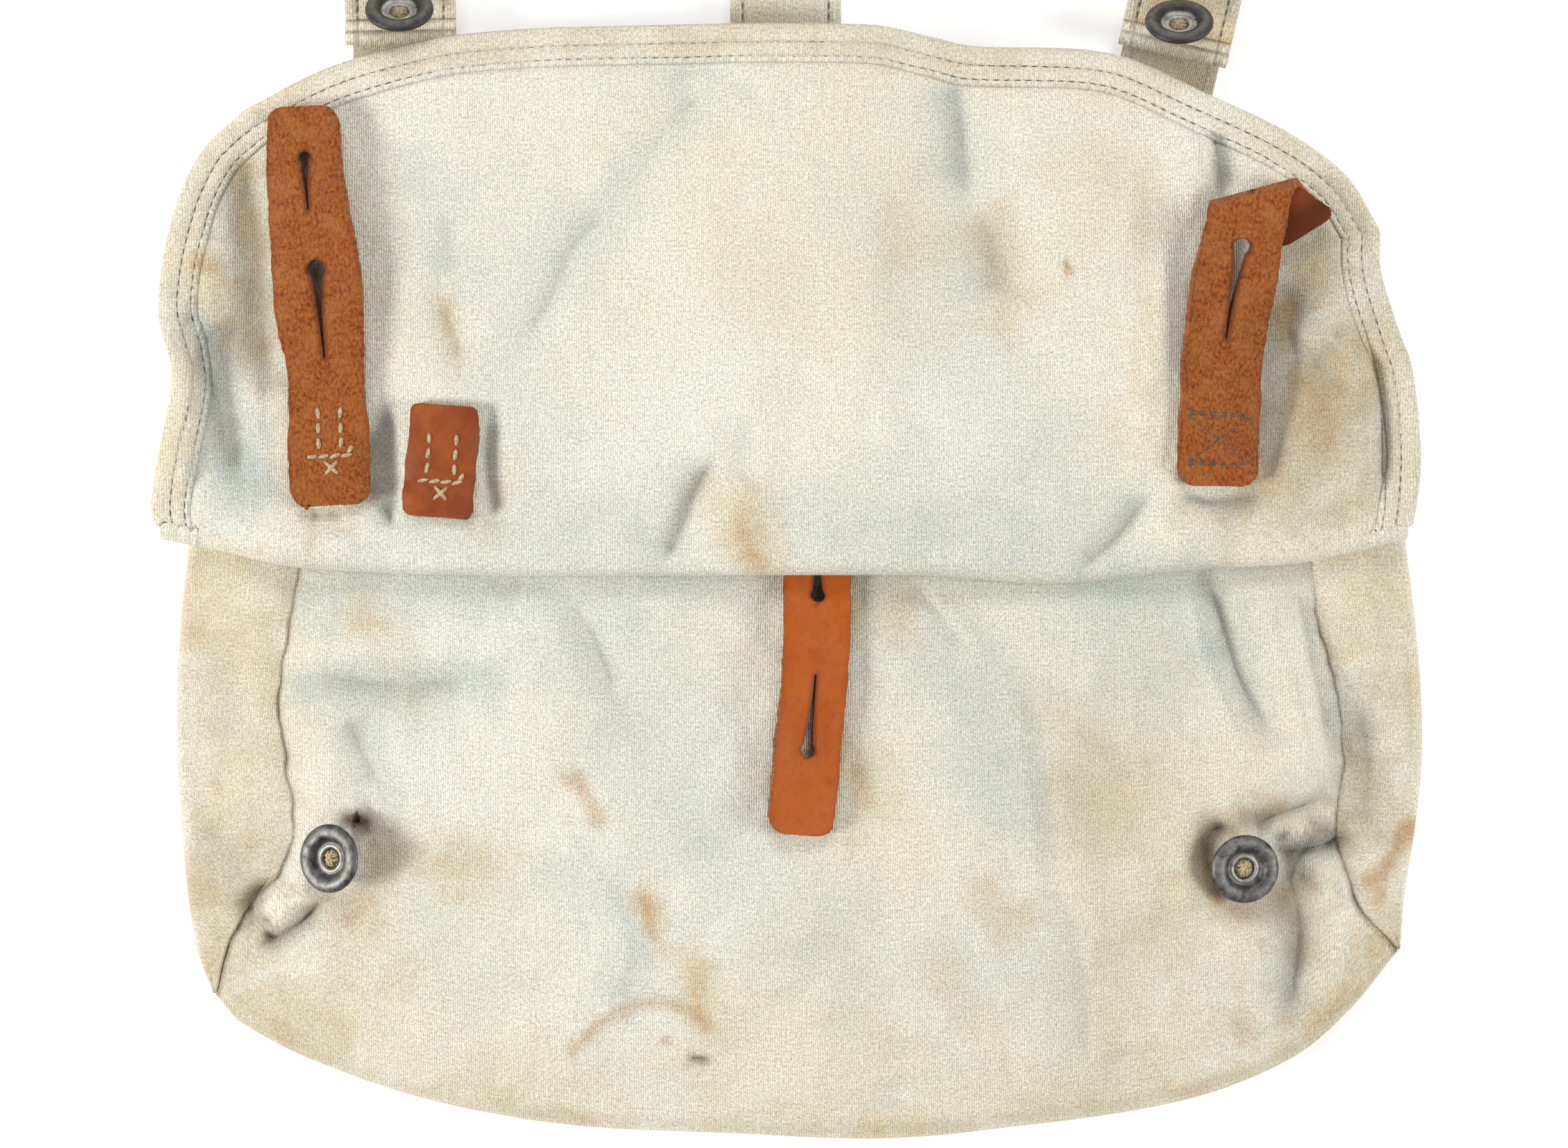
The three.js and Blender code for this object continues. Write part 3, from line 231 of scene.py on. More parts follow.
# Folds: a path of photo pixels, then in millimetres how far the fold reaches to the left and right of its path and
# its height. Ridges are above 0 and valleys below. Left and right are those of someone who walks along the path.
FRONT_FOLDS = (
    ("dark hollow under the flap", ((690, 835), (760, 845)), 4, 8, -1.6),
    ("valley left of middle", ((775, 835), (830, 880), (868, 950), (892, 1015)), 10, 3.5, -1.5),
    ("ridge left of that", ((740, 850), (790, 900), (835, 980)), 10, 6, 0.9),
    ("shelf under the flap, left", ((430, 962), (560, 985), (700, 975)), 5, 11, -1.7),
    ("ridge over the shelf", ((440, 930), (560, 945), (690, 940)), 8, 5, 1.0),
    ("dent above the left button", ((500, 1030), (524, 1085), (548, 1130)), 4, 9, -1.5),
    ("ridge beside the left seam", ((470, 1040), (480, 1110), (470, 1160)), 6, 6, 1.1),
    ("pit above the left button", ((506, 1180), (524, 1184)), 2.6, 2.6, -2.6),
    ("hollow left of the right button", ((1772, 1186), (1740, 1200), (1736, 1240), (1754, 1290)), 4, 4, -2.6),
    ("ridge left of that hollow", ((1716, 1180), (1700, 1240), (1722, 1310)), 5, 5, 1.3),
    ("tuck under the left seam's end", ((392, 1262), (430, 1276), (462, 1270)), 2.6, 3.2, -1.3),
    ("pucker from the left button", ((520, 1180), (600, 1196), (680, 1198)), 3, 5, 0.8),
    ("loop of pucker, outer", ((392, 1262), (362, 1290), (350, 1318)), 3, 2.4, -3.0),
    ("loop of pucker, inner", ((372, 1340), (395, 1349), (430, 1328), (466, 1292)), 2.4, 4, -3.0),
    ("ridge in the loop", ((384, 1316), (420, 1300), (455, 1266)), 4, 4, 2.0),
    ("tuck left of the left button", ((330, 1345), (372, 1326), (400, 1322)), 3, 2.4, -1.6),
    ("curved ridge", ((770, 1195), (830, 1232), (880, 1295), (900, 1365), (882, 1430)), 7, 3, 1.1),
    ("hollow inside the curve", ((760, 1235), (812, 1275), (846, 1330), (850, 1400)), 5, 9, -1.0),
    ("strong crease right of middle", ((1298, 828), (1345, 878), (1392, 945)), 9, 2.6, -1.5),
    ("ridge right of that crease", ((1330, 838), (1385, 900), (1430, 975)), 3, 10, 1.0),
    ("long fold down the right", ((1462, 932), (1496, 1050), (1510, 1150), (1520, 1270)), 3.4, 10, -1.2),
    ("long fold, lower part", ((1520, 1270), (1548, 1350), (1562, 1450), (1560, 1550)), 3.4, 9, -1.0),
    ("ridge of the long fold", ((1440, 950), (1468, 1060), (1482, 1180), (1494, 1300)), 12, 4, 1.0),
    ("pleat from the flap", ((1733, 815), (1752, 880), (1784, 980), (1832, 1062)), 4.4, 9, -2.5),
    ("ridge left of the pleat", ((1705, 830), (1722, 900), (1752, 1000), (1790, 1085)), 9, 3, 1.8),
    ("ridge beside the right seam", ((1820, 860), (1850, 960), (1880, 1060), (1888, 1130)), 6, 6, 1.5),
    ("hollow beside the right seam", ((1862, 840), (1885, 950), (1905, 1060), (1915, 1130)), 3, 3, -1.5),
    ("tuck above the right button", ((1790, 1190), (1838, 1172), (1905, 1150)), 3.4, 4.6, -2.6),
    ("ridge right of the button", ((1834, 1206), (1880, 1192), (1922, 1180)), 3.4, 3.4, 2.2),
    ("tuck below that ridge", ((1830, 1224), (1880, 1220), (1932, 1206)), 2.8, 4.6, -3.4),
    ("ridge to the lower seam", ((1868, 1244), (1905, 1260), (1940, 1300)), 4, 5, 1.7),
    ("valley to the right corner", ((1850, 1235), (1868, 1320), (1866, 1400), (1850, 1475)), 6, 9, -2.8),
    ("ridge left of that valley", ((1800, 1320), (1808, 1400), (1796, 1480)), 9, 7, 1.1),
    ("ridge right of that valley", ((1925, 1330), (1930, 1400), (1912, 1455)), 7, 7, 1.2),
    ("soft bulge in the middle", ((960, 1080), (1080, 1260), (1200, 1380)), 40, 40, 1.4),
    ("low swell, lower left", ((560, 1420), (720, 1500), (900, 1530)), 18, 18, 1.0),
    ("low hollow, lower left", ((620, 1330), (700, 1400), (760, 1490)), 12, 12, -0.8),
    ("crease near the bottom", ((1180, 1470), (1300, 1500), (1430, 1480)), 8, 14, -0.6),
    ("bottom seam pucker one", ((700, 1575), (720, 1530)), 5, 5, -0.6),
    ("bottom seam pucker two", ((980, 1600), (985, 1550)), 6, 6, -0.5),
    ("bottom seam pucker three", ((1290, 1600), (1280, 1550)), 6, 6, -0.6),
    ("bottom seam pucker four", ((1620, 1560), (1600, 1510)), 6, 6, -0.6),
)
GUSSET_FOLDS = (
    ("dent in the left gusset", ((300, 930), (330, 1000), (322, 1080)), 10, 8, -1.0),
    ("ridge in the left gusset", ((372, 880), (365, 960), (380, 1040)), 6, 5, 0.8),
    ("tuck low in the left gusset", ((290, 1180), (330, 1230), (352, 1270)), 5, 6, -1.0),
    ("dark hollow, right gusset", ((1955, 1010), (1972, 1100), (1965, 1190)), 6, 8, -2.0),
    ("ridge at the right edge", ((2018, 960), (2028, 1080), (2015, 1180)), 7, 5, 1.2),
    ("fold from the right tuck", ((1950, 1180), (1990, 1230), (2010, 1290)), 6, 6, 0.9),
)
FLAP_FOLDS = (
    ("valley along the left tab", ((356, 235), (368, 330), (378, 450), (390, 560)), 3.2, 10, -2.5),
    ("ridge left of that valley", ((296, 330), (296, 420), (306, 480)), 5, 6, 1.2),
    ("crease from the left hem", ((262, 455), (300, 466), (350, 486)), 3, 4, -1.2),
    ("facet beside the left tab", ((306, 470), (330, 580), (352, 700)), 3.4, 9, -2.6),
    ("ridge along the left hem", ((268, 520), (270, 620), (262, 720)), 4, 4, 1.3),
    ("bulge above the left fold", ((300, 745), (420, 775), (520, 780)), 9, 7, 1.4),
    ("hollow under the left tab", ((440, 745), (500, 738)), 5, 6, -1.3),
    ("pleat left of the patch", ((556, 590), (562, 680), (566, 765)), 3.2, 3, -3.0),
    ("pleat, second line", ((536, 620), (541, 730)), 2.4, 2.4, -1.8),
    ("ridge under the patch", ((585, 755), (600, 700)), 5, 8, 0.9),
    ("crease right of the patch", ((706, 590), (704, 680), (720, 760)), 5, 3.6, -1.9),
    ("dent left of the diagonal", ((645, 300), (652, 400)), 7, 10, -1.0),
    ("crease above the patch", ((640, 432), (652, 480), (668, 525)), 4, 5, -1.1),
    ("soft dent, upper left", ((612, 195), (612, 300)), 8, 10, -0.8),
    ("diagonal valley, top", ((1028, 132), (975, 172), (940, 220), (898, 292)), 3.4, 10, -1.3),
    ("diagonal valley, lower", ((898, 292), (830, 352), (790, 440), (745, 505)), 4, 11, -1.3),
    ("ridge over the diagonal", ((980, 140), (905, 215), (840, 300)), 10, 8, 0.8),
    ("arc near the top hem", ((950, 118), (1010, 104), (1065, 128), (1105, 146)), 4, 4, -0.7),
    ("short fold at the lower edge", ((1032, 655), (1002, 710), (978, 770), (955, 812)), 3.4, 7, -2.0),
    ("ridge beside the short fold", ((1075, 690), (1045, 740), (1010, 800)), 8, 5, 0.7),
    ("crease right of the short fold", ((1078, 596), (1070, 650), (1068, 695)), 4, 5, -0.8),
    ("drop from the free edge", ((1372, 108), (1382, 180), (1392, 300)), 3.6, 9, -1.5),
    ("dent below that drop", ((1410, 300), (1428, 380), (1440, 440)), 6, 9, -1.0),
    ("fold into the right tab", ((1742, 190), (1748, 230), (1758, 285)), 4.6, 2, -2.4),
    ("ridge left of that fold", ((1716, 190), (1718, 250), (1712, 320)), 10, 4, 1.0),
    ("step left of the right tab", ((1680, 330), (1668, 440), (1650, 560), (1640, 660)), 9, 4, 1.3),
    ("hollow right of the right tab", ((1850, 400), (1850, 500), (1835, 600), (1812, 700)), 7, 9, -3.2),
    ("bright facet", ((1842, 468), (1880, 482), (1915, 496)), 4, 5, 1.2),
    ("crease under the facet", ((1880, 520), (1915, 540), (1950, 560)), 3, 4, -1.3),
    ("long edge of the shade", ((1980, 500), (1930, 570), (1880, 640), (1828, 700)), 8, 4, 1.2),
    ("hollow beside the right hem", ((1962, 470), (1985, 560), (1992, 640), (1990, 720)), 2.6, 2.6, -2.6),
    ("dent under the right tab", ((1680, 716), (1750, 722), (1830, 712)), 3, 6, -1.8),
    ("shade at the right of the fold", ((1662, 700), (1606, 775), (1545, 822)), 3, 9, -1.8),
    ("ridge at the right of the fold", ((1740, 740), (1680, 790)), 7, 7, 1.3),
    ("long swell in the middle", ((1150, 560), (1500, 620)), 34, 34, 1.0),
    ("hollow over the swell", ((1250, 430), (1500, 400)), 26, 26, -0.8),
)

# Marks and painted shade on the cloth by kind: a path of photo pixels, a half width in millimetres and a strength.
# The cool kind is blue-grey painted shade in hollows, folds and under the flap, tan and rust are stains with some
# painted shade where noted, and dark is mostly painted shade and shadow, with some soil.
CLOTH_MARKS_AND_SHADE = {
    "painted_cool_shade": (
        (((640, 720), (800, 760), (960, 800)), 16, 0.55),
        (((720, 560), (760, 660)), 14, 0.4),
        (((640, 300), (640, 420)), 12, 0.35),
        (((900, 290), (800, 400), (750, 500)), 8, 0.5),
        (((1020, 140), (940, 230)), 6, 0.45),
        (((1200, 760), (1480, 780)), 16, 0.6),
        (((1500, 640), (1560, 760)), 12, 0.4),
        (((290, 470), (322, 560), (345, 700)), 9, 1.0),
        (((1250, 330), (1420, 520)), 18, 0.25),
        (((450, 860), (700, 850), (900, 880)), 10, 0.7),
        (((450, 985), (560, 985), (700, 980)), 7, 0.9),
        (((520, 1040), (560, 1140)), 7, 0.7),
        (((820, 900), (920, 1040), (1000, 1200)), 18, 0.55),
        (((1240, 860), (1400, 980), (1460, 1120)), 20, 0.65),
        (((1540, 860), (1700, 980)), 20, 0.5),
        (((1560, 840), (1700, 850), (1744, 930)), 11, 0.9),
        (((830, 1260), (900, 1330), (900, 1440)), 8, 0.6),
        (((1060, 1280), (1300, 1400), (1450, 1380)), 20, 0.35),
        (((600, 1300), (700, 1400)), 16, 0.3),
        (((1740, 850), (1800, 1000)), 6, 0.6),
        (((1930, 1000), (1960, 1140)), 6, 0.7),
    ),
    "tan": (
        (((285, 380), (316, 429), (350, 450)), 7, 0.75),
        (((240, 380), (245, 330)), 5, 0.4),
        (((400, 130), (300, 250)), 8, 0.3),
        (((640, 440), (655, 480), (660, 520)), 4, 0.55),
        (((1410, 340), (1440, 400), (1440, 450)), 7, 0.5),
        (((1290, 300), (1300, 360)), 6, 0.35),
        (((1060, 740), (1090, 800)), 8, 0.6),
        (((1010, 700), (1040, 740)), 5, 0.4),
        (((1240, 880), (1290, 890)), 9, 0.5),
        (((1225, 1100), (1250, 1160)), 9, 0.6),
        (((530, 890), (560, 920)), 7, 0.45),
        (((575, 960), (595, 1020)), 5, 0.4),
        (((520, 700), (500, 650), (480, 740)), 6, 0.55),
        (((735, 680), (700, 740)), 8, 0.35),
        (((560, 1240), (620, 1230), (700, 1240)), 7, 0.5),
        (((930, 1290), (945, 1330)), 4, 0.7),
        (((1000, 1400), (1016, 1433), (1040, 1470)), 8, 0.6),
        (((960, 1370), (1030, 1420)), 7, 0.4),
        (((1420, 1280), (1450, 1320)), 8, 0.5),
        (((1560, 1240), (1600, 1260)), 6, 0.4),
        (((1780, 1440), (1800, 1490)), 7, 0.6),
        (((1340, 1400), (1400, 1480)), 10, 0.25),
        (((300, 1250), (320, 1400), (420, 1480)), 9, 0.5),
        (((270, 1150), (300, 1200), (360, 1200)), 6, 0.6),
        (((500, 1560), (800, 1610), (1200, 1630), (1600, 1600), (1900, 1510)), 7, 0.6),
        (((1990, 1400), (1900, 1480)), 9, 0.7),
        (((2000, 900), (2020, 1000), (2000, 1150)), 9, 0.45),
        (((1900, 1330), (1990, 1360)), 12, 0.5),
        (((1600, 1150), (1640, 1300), (1600, 1450)), 24, 0.35),
        (((268, 860), (262, 1000), (275, 1160)), 6, 0.45),
        # Painted shade in the hollow right of the right tab.
        (((1850, 430), (1870, 560), (1850, 690)), 12, 0.75),
        (((1930, 560), (1950, 700)), 8, 0.45),
        (((1640, 250), (1650, 420), (1640, 560)), 5, 0.35),
        (((1560, 240), (1700, 330)), 12, 0.2),
        (((1240, 60), (1480, 90), (1700, 150)), 6, 0.3),
        # Painted shade over the facet between the right tab and the hem.
        (((1900, 400), (1930, 520), (1890, 650)), 19, 0.7),
        # Painted shade in the valley beside the left tab.
        (((350, 250), (360, 360), (372, 500)), 6, 0.7),
        (((330, 1300), (420, 1440), (640, 1560)), 16, 0.45),
        (((480, 1330), (520, 1400)), 20, 0.3),
    ),
    "rust": (
        (((832, 1120), (850, 1150), (862, 1180)), 2.2, 0.55),
        (((812, 1115), (826, 1128)), 1.6, 0.4),
        (((828, 1508), (868, 1468), (930, 1441), (990, 1452), (1022, 1478)), 2.0, 0.5),
        (((1532, 384), (1538, 394)), 1.0, 0.8),
        (((956, 1492), (964, 1494)), 0.9, 0.6),
        (((930, 1300), (942, 1345)), 1.8, 0.4),
        (((306, 1128), (314, 1136)), 1.2, 0.35),
        (((640, 455), (660, 500)), 1.8, 0.3),
        (((1080, 770), (1092, 806)), 3, 0.35),
        (((1240, 1120), (1246, 1150)), 3, 0.25),
        (((520, 1218), (540, 1250), (520, 1290), (480, 1300)), 4, 0.3),
        (((1778, 1462), (1792, 1486)), 2.2, 0.4),
        (((1770, 1200), (1800, 1190)), 3.4, 0.3),
        (((1975, 1272), (2000, 1240), (2030, 1190)), 2.6, 0.75),
        (((1968, 1262), (1988, 1286)), 2.0, 0.7),
        # Rust stain round the hollow left of the right button, with painted shade in that hollow.
        (((1780, 1180), (1735, 1194), (1728, 1240), (1750, 1290)), 4.4, 0.45),
        (((1770, 1176), (1800, 1168), (1840, 1160)), 3.0, 0.5),
        (((1780, 1310), (1820, 1306), (1850, 1290)), 5.0, 0.45),
        (((548, 1200), (562, 1240), (540, 1290), (500, 1320)), 4.4, 0.3),
    ),
    "dark": (
        # Most dark rows are painted shade and shadow: in the buttonholes of the tabs, in pits, tucks, creases,
        # pleats and hollows, and beside the buttons and tabs. The two small spots after the buttonholes are soil,
        # and the three broad faint bands darken the left, the lower right and the bottom.
        (((441, 227), (451, 300)), 2.0, 0.9),
        (((457, 387), (472, 500)), 3.0, 0.9),
        (((1779, 355), (1760, 470)), 3.0, 0.7),
        (((1171, 1079), (1178, 980)), 3.0, 0.95),
        (((1179, 850), (1179, 858)), 3.0, 0.95),
        (((998, 1521), (1012, 1522)), 1.3, 0.85),
        (((580, 1570), (588, 1577)), 1.0, 0.6),
        (((503, 1178), (526, 1182)), 3.2, 1.0),
        (((532, 1200), (544, 1235), (532, 1270)), 2.4, 0.16),
        (((395, 1266), (356, 1312)), 1.8, 0.4),
        (((395, 1349), (430, 1328), (462, 1296)), 2.2, 0.4),
        (((1900, 1148), (1840, 1172), (1790, 1186)), 2.4, 0.35),
        (((1896, 1190), (1932, 1206)), 3.0, 0.5),
        (((1850, 430), (1900, 560), (1870, 690)), 13, 0.28),
        (((1900, 400), (1925, 520), (1895, 650)), 20, 0.16),
        (((1772, 1192), (1744, 1204), (1738, 1240), (1754, 1284)), 2.2, 0.5),
        (((1842, 1222), (1880, 1216), (1925, 1206)), 2.0, 0.45),
        (((1868, 1290), (1872, 1380), (1860, 1450)), 6.0, 0.25),
        (((376, 1300), (354, 1318)), 1.6, 0.5),
        (((1748, 860), (1790, 990), (1830, 1060)), 3.0, 0.2),
        (((1960, 1020), (1966, 1180)), 6.0, 0.25),
        (((352, 260), (368, 360), (378, 460), (388, 550)), 4.6, 0.42),
        (((300, 480), (326, 580), (346, 700)), 6, 0.12),
        (((1830, 420), (1826, 520), (1816, 650)), 3.4, 0.3),
        (((262, 900), (268, 1150), (300, 1350), (420, 1500)), 16, 0.09),
        (((1560, 1080), (1620, 1350), (1540, 1540)), 24, 0.08),
        (((1720, 1440), (1860, 1480), (1960, 1400)), 16, 0.08),
        (((548, 600), (556, 680)), 2.0, 0.2),
        (((1744, 235), (1754, 280)), 1.4, 0.35),
        (((1735, 830), (1760, 900)), 2.2, 0.35),
    ),
}


def clamp01(t):
    return np.clip(t, 0, 1)


def smooth(t):
    t = clamp01(t)
    return t * t * (3 - 2 * t)


def mix(a, b, t):
    return a + (b - a) * t


def bell(distance, reach):
    return np.exp(-((distance / reach) ** 2))


def turned(x, y, angle):
    """A step turned anticlockwise."""
    return x * np.cos(angle) - y * np.sin(angle), x * np.sin(angle) + y * np.cos(angle)


def column(rows, key, name):
    """One column of a table, read between its rows along a smooth curve."""
    at, value = rows[key], rows[name]
    last = len(at) - 1
    before = np.maximum(np.arange(last + 1) - 1, 0)
    after = np.minimum(np.arange(last + 1) + 1, last)
    slope = (value[after] - value[before]) / (at[after] - at[before])

    def read(where):
        where = np.asarray(where, float)
        i = np.searchsorted(at[1:last], where)
        span = at[i + 1] - at[i]
        t = clamp01((where - at[i]) / span)
        bend = span * (t * (1 - t) ** 2 * slope[i] - t * t * (1 - t) * slope[i + 1])
        return mix(value[i], value[i + 1], t * t * (3 - 2 * t)) + bend

    return read


left_share = column(SIDES, "up", "left")
right_share = column(SIDES, "up", "right")
left_gusset = column(SIDES, "up", "gusset_left")
right_gusset = column(SIDES, "up", "gusset_right")
bottom_rise = column(BOTTOM, "across", "rise")
top_drop = column(BACK_TOP, "across", "drop")
fold_up = column(FLAP_FOLD, "across", "up")


def outline_left(y):
    return -HALF_BODY * left_share(y / BODY_HEIGHT)


def outline_right(y):
    return HALF_BODY * right_share(y / BODY_HEIGHT)


def lumps(x, y, size, seed):
    """Soft unevenness between -1 and 1."""
    heights = [noise.noise((a / size, b / size, seed)) for a, b in zip(np.ravel(x), np.ravel(y))]
    return np.array(heights).reshape(np.shape(x))


def crumple(x, y, size, seed):
    """Crumpled cloth between -1 and 1: soft facets between creases."""
    return 1 - 4 * np.abs(lumps(x, y, size, seed))


def seam_wander(y, seed):
    """Sideways ripple of a seam that its threads draw in."""
    y = np.asarray(y, float)
    shown = smooth((y - SIDES["up"][1] * BODY_HEIGHT) / SEAM_REACH) * smooth((FOLD_HEIGHT - y) / SEAM_REACH)
    return shown * (0.7 * lumps(y, 0 * y, 8, seed) + 0.5 * lumps(y, 0 * y, 3.5, seed + 2))


def seam_left(y):
    return outline_left(y) + GUSSET_FACE * left_gusset(y / BODY_HEIGHT) + seam_wander(y, 1.7)


def seam_right(y):
    return outline_right(y) - GUSSET_FACE * right_gusset(y / BODY_HEIGHT) - seam_wander(y, 6.3)


def lower_corner(outline, end):
    y = BOTTOM["rise"][end] * BODY_HEIGHT
    return float(outline(y)), float(y)


LEFT_CORNER = lower_corner(outline_left, 0)
RIGHT_CORNER = lower_corner(outline_right, -1)
FOLD_LEFT = -HALF_BODY * FLAP_LEFT["out"][0]
FOLD_RIGHT = HALF_BODY * FLAP_RIGHT["out"][0]


def bottom_at(u):
    return mix(LEFT_CORNER[0], RIGHT_CORNER[0], u), BODY_HEIGHT * bottom_rise(u)


def bottom_under(x):
    return bottom_at(clamp01((x - LEFT_CORNER[0]) / (RIGHT_CORNER[0] - LEFT_CORNER[0])))[1]


def fold_line(x):
    return FOLD_HEIGHT + FLAP_RISE * fold_up(clamp01((x - FOLD_LEFT) / (FOLD_RIGHT - FOLD_LEFT)))


def roll_radius(x, y):
    """The edge's roll gets smaller towards the two lower corners."""
    near = sum(np.exp(-np.hypot(x - c[0], y - c[1]) / (EDGE_SLOPE / 2)) for c in (LEFT_CORNER, RIGHT_CORNER))
    return mix(EDGE_RADIUS, CORNER_RADIUS, np.minimum(1, near))


def bottom_inset(u, distance):
    """Points moved inwards from the bottom edge, and drawn to the seams at both ends."""

    def place(s):
        a = bottom_at(np.maximum(0, s - 0.01))
        b = bottom_at(np.minimum(1, s + 0.01))
        run = np.hypot(b[0] - a[0], b[1] - a[1])
        at = bottom_at(s)
        return at[0] - (b[1] - a[1]) / run * distance, at[1] + (b[0] - a[0]) / run * distance

    at = place(u)
    first = place(0 * u)
    last = place(0 * u + 1)
    to_left = (seam_left(first[1]) + CLEARANCE / 2 - first[0]) * smooth(1 - u / 0.08)
    to_right = (seam_right(last[1]) - CLEARANCE / 2 - last[0]) * smooth(1 - (1 - u) / 0.08)
    return at[0] + to_left + to_right, at[1]


def from_photo(path):
    """A path of photo pixels as millimetres on the bag."""
    path = np.array(path, float)
    return np.stack([(path[:, 0] - PHOTO_MIDDLE) * PHOTO_PIXEL, (PHOTO_BOTTOM - path[:, 1]) * PHOTO_PIXEL], 1)


def rounded(path):
    """A smooth curve through the points of a path."""
    if len(path) < 3:
        return path
    ends = np.concatenate([[2 * path[0] - path[1]], path, [2 * path[-1] - path[-2]]])
    out = []
    for k in range(1, len(ends) - 2):
        a, b, c, d = ends[k - 1 : k + 3]
        second, third = 2 * a - 5 * b + 4 * c - d, 3 * b - a - 3 * c + d
        out += [0.5 * (2 * b + (c - a) * t + second * t**2 + third * t**3) for t in np.arange(6) / 6]
    return np.array(out + [path[-1]])


def from_path(x, y, path):
    """Signed distance of points from a path, left of it above 0, and the share of the path beside each."""
    best = np.full(x.shape, 1e9)
    side = np.ones(x.shape)
    share = np.zeros(x.shape)
    count = len(path) - 1
    for k in range(count):
        a, run = path[k], path[k + 1] - path[k]
        t = clamp01(((x - a[0]) * run[0] + (y - a[1]) * run[1]) / (run @ run))
        dx, dy = x - a[0] - run[0] * t, y - a[1] - run[1] * t
        away = np.hypot(dx, dy)
        nearer = away < best
        best = np.where(nearer, away, best)
        side = np.where(nearer, np.sign(run[0] * (y - a[1]) - run[1] * (x - a[0])), side)
        share = np.where(nearer, (k + t) / count, share)
    return best, side, share


def around(path, reach, x, y):
    """A path of photo pixels as a curve in millimetres, and which points lie within reach of its box."""
    path = from_photo(path)
    low, top = path.min(0) - reach, path.max(0) + reach
    return rounded(path), (x > low[0]) & (x < top[0]) & (y > low[1]) & (y < top[1])


def folds(rows, x, y):
    """Sum of a table's ridges and valleys at points, in millimetres."""
    total = np.zeros(np.shape(x))
    for _, path, left, right, high in rows:
        curve, near = around(path, 3 * max(left, right), x, y)
        if near.any():
            away, side, share = from_path(x[near], y[near], curve)
            width = np.where(side > 0, left, right)
            taper = smooth(0.25 + share / 0.3) * smooth(0.25 + (1 - share) / 0.3)
            total[near] += FOLD_STRENGTH * high * taper * np.exp(-((away / width) ** FOLD_EDGE))
    return total


def marks(x, y):
    """Strengths of the cool, tan, rust and dark marks at points; the cool marks and most dark ones are painted
    shade.
    """
    out = {kind: np.zeros(np.shape(x)) for kind in CLOTH_MARKS_AND_SHADE}
    for kind, rows in CLOTH_MARKS_AND_SHADE.items():
        for path, width, strength in rows:
            curve, near = around(path, 5 * width, x, y)
            if near.any():
                u, v = x[near], y[near]
                away = from_path(u, v, curve)[0]
                ragged = np.maximum(1 + 0.7 * lumps(u, v, 3 + width, 8.1) + 0.4 * lumps(u, v, 3, 2.9), 0.5)
                out[kind][near] = np.maximum(out[kind][near], strength * bell(away * ragged, width))
    return out


def body_height(x, y):
    """Height of the middle of the front cloth, before its folds and seams."""

    def rise(d):
        return 1 - np.exp(-np.maximum(0, d) / EDGE_SLOPE)

    sides = rise(x - outline_left(y)) * rise(outline_right(y) - x)
    bottom = rise(1.6 * (y - bottom_under(x)))
    mouth = 1 - 0.42 * np.exp(-np.maximum(0, BODY_HEIGHT - y) / EDGE_SLOPE)
    return CLOTH / 2 + 2 * roll_radius(x, y) + PLUMP * sides * bottom * mouth / 0.9


def from_outline(x, y):
    """How far points are in from the bag's sides and bottom edge."""
    return np.minimum(np.minimum(x - outline_left(y), outline_right(y) - x), y - bottom_under(x))


def seam_shade_and_soil(x, y, away):
    """Darkness of points beside a seam: painted shade in the seam's gap, with soil."""
    return (0.6 + 0.7 * lumps(x, y, 9, 4.4)) * bell(away, SEAM_SHADE_AND_SOIL)


def front_height(x, y):
    """Height of the middle of the front cloth, with its folds and the valleys along its seams."""
    x, y = np.asarray(x, float), np.asarray(y, float)
    shown = smooth((fold_line(x) - y) / (EDGE_SLOPE / 4))
    uneven = 0.9 * lumps(x, y, 30, 3.1) + 0.5 * crumple(x, y, 34, 7.7) + 0.24 * crumple(x, y, 15, 1.2)
    pucker = folds(FRONT_FOLDS, x, y) + folds(GUSSET_FOLDS, x, y) + uneven
    to_seam = np.minimum(np.abs(x - seam_left(y)), np.abs(x - seam_right(y)))
    in_bag = smooth((y - min(LEFT_CORNER[1], RIGHT_CORNER[1])) / EDGE_SLOPE)
    dip = SEAM_DIP * in_bag * (1 + 0.5 * lumps(x, y, 7, 4.4)) * np.exp(-((to_seam / SEAM_REACH) ** FOLD_EDGE))
    inwards = smooth(from_outline(x, y) / (EDGE_SLOPE / 2))
    level = body_height(x, y) + inwards * (shown * pucker - dip)
    return np.maximum(CLOTH / 2 + 2 * CORNER_RADIUS, level)


def flap_under(x, y):
    """Height of the flap's lower layer, which makes room for the middle tab."""
    aside = np.abs(x - TAB_CENTRE["x"][0] * HALF_BODY) - TAB_WIDTH / 2
    room = smooth(1 - aside / EDGE_SLOPE)
    return body_height(x, y) + CLOTH + 2 * CLEARANCE + (LEATHER + CLEARANCE) * room


def flap_over(x, y):
    """Height of the flap's upper layer, the one that shows."""
    x, y = np.asarray(x, float), np.asarray(y, float)
    uneven = 0.9 * lumps(x, y, 30, 11.3) + 0.5 * crumple(x, y, 38, 5.5) + 0.24 * crumple(x, y, 16, 9.2)
    pucker = folds(FLAP_FOLDS, x, y) + uneven
    bulge = BACK_HEIGHT + flap_under(0.0, BACK_HEIGHT) / 2
    droop = FLAP_DROOP * smooth((y - bulge) / (EDGE_SLOPE / 2))
    return flap_under(x, y) + CLOTH + 2 * CLEARANCE + FLAP_SLACK + np.maximum(-FLAP_SLACK, pucker) - droop


def lift_at(y):
    """How far the back is lifted by the straps under it."""
    return BACK_LIFT * smooth((y - STRAP_ROOT + STRAP_WIDTH) / (STRAP_WIDTH - 8 * CLEARANCE))


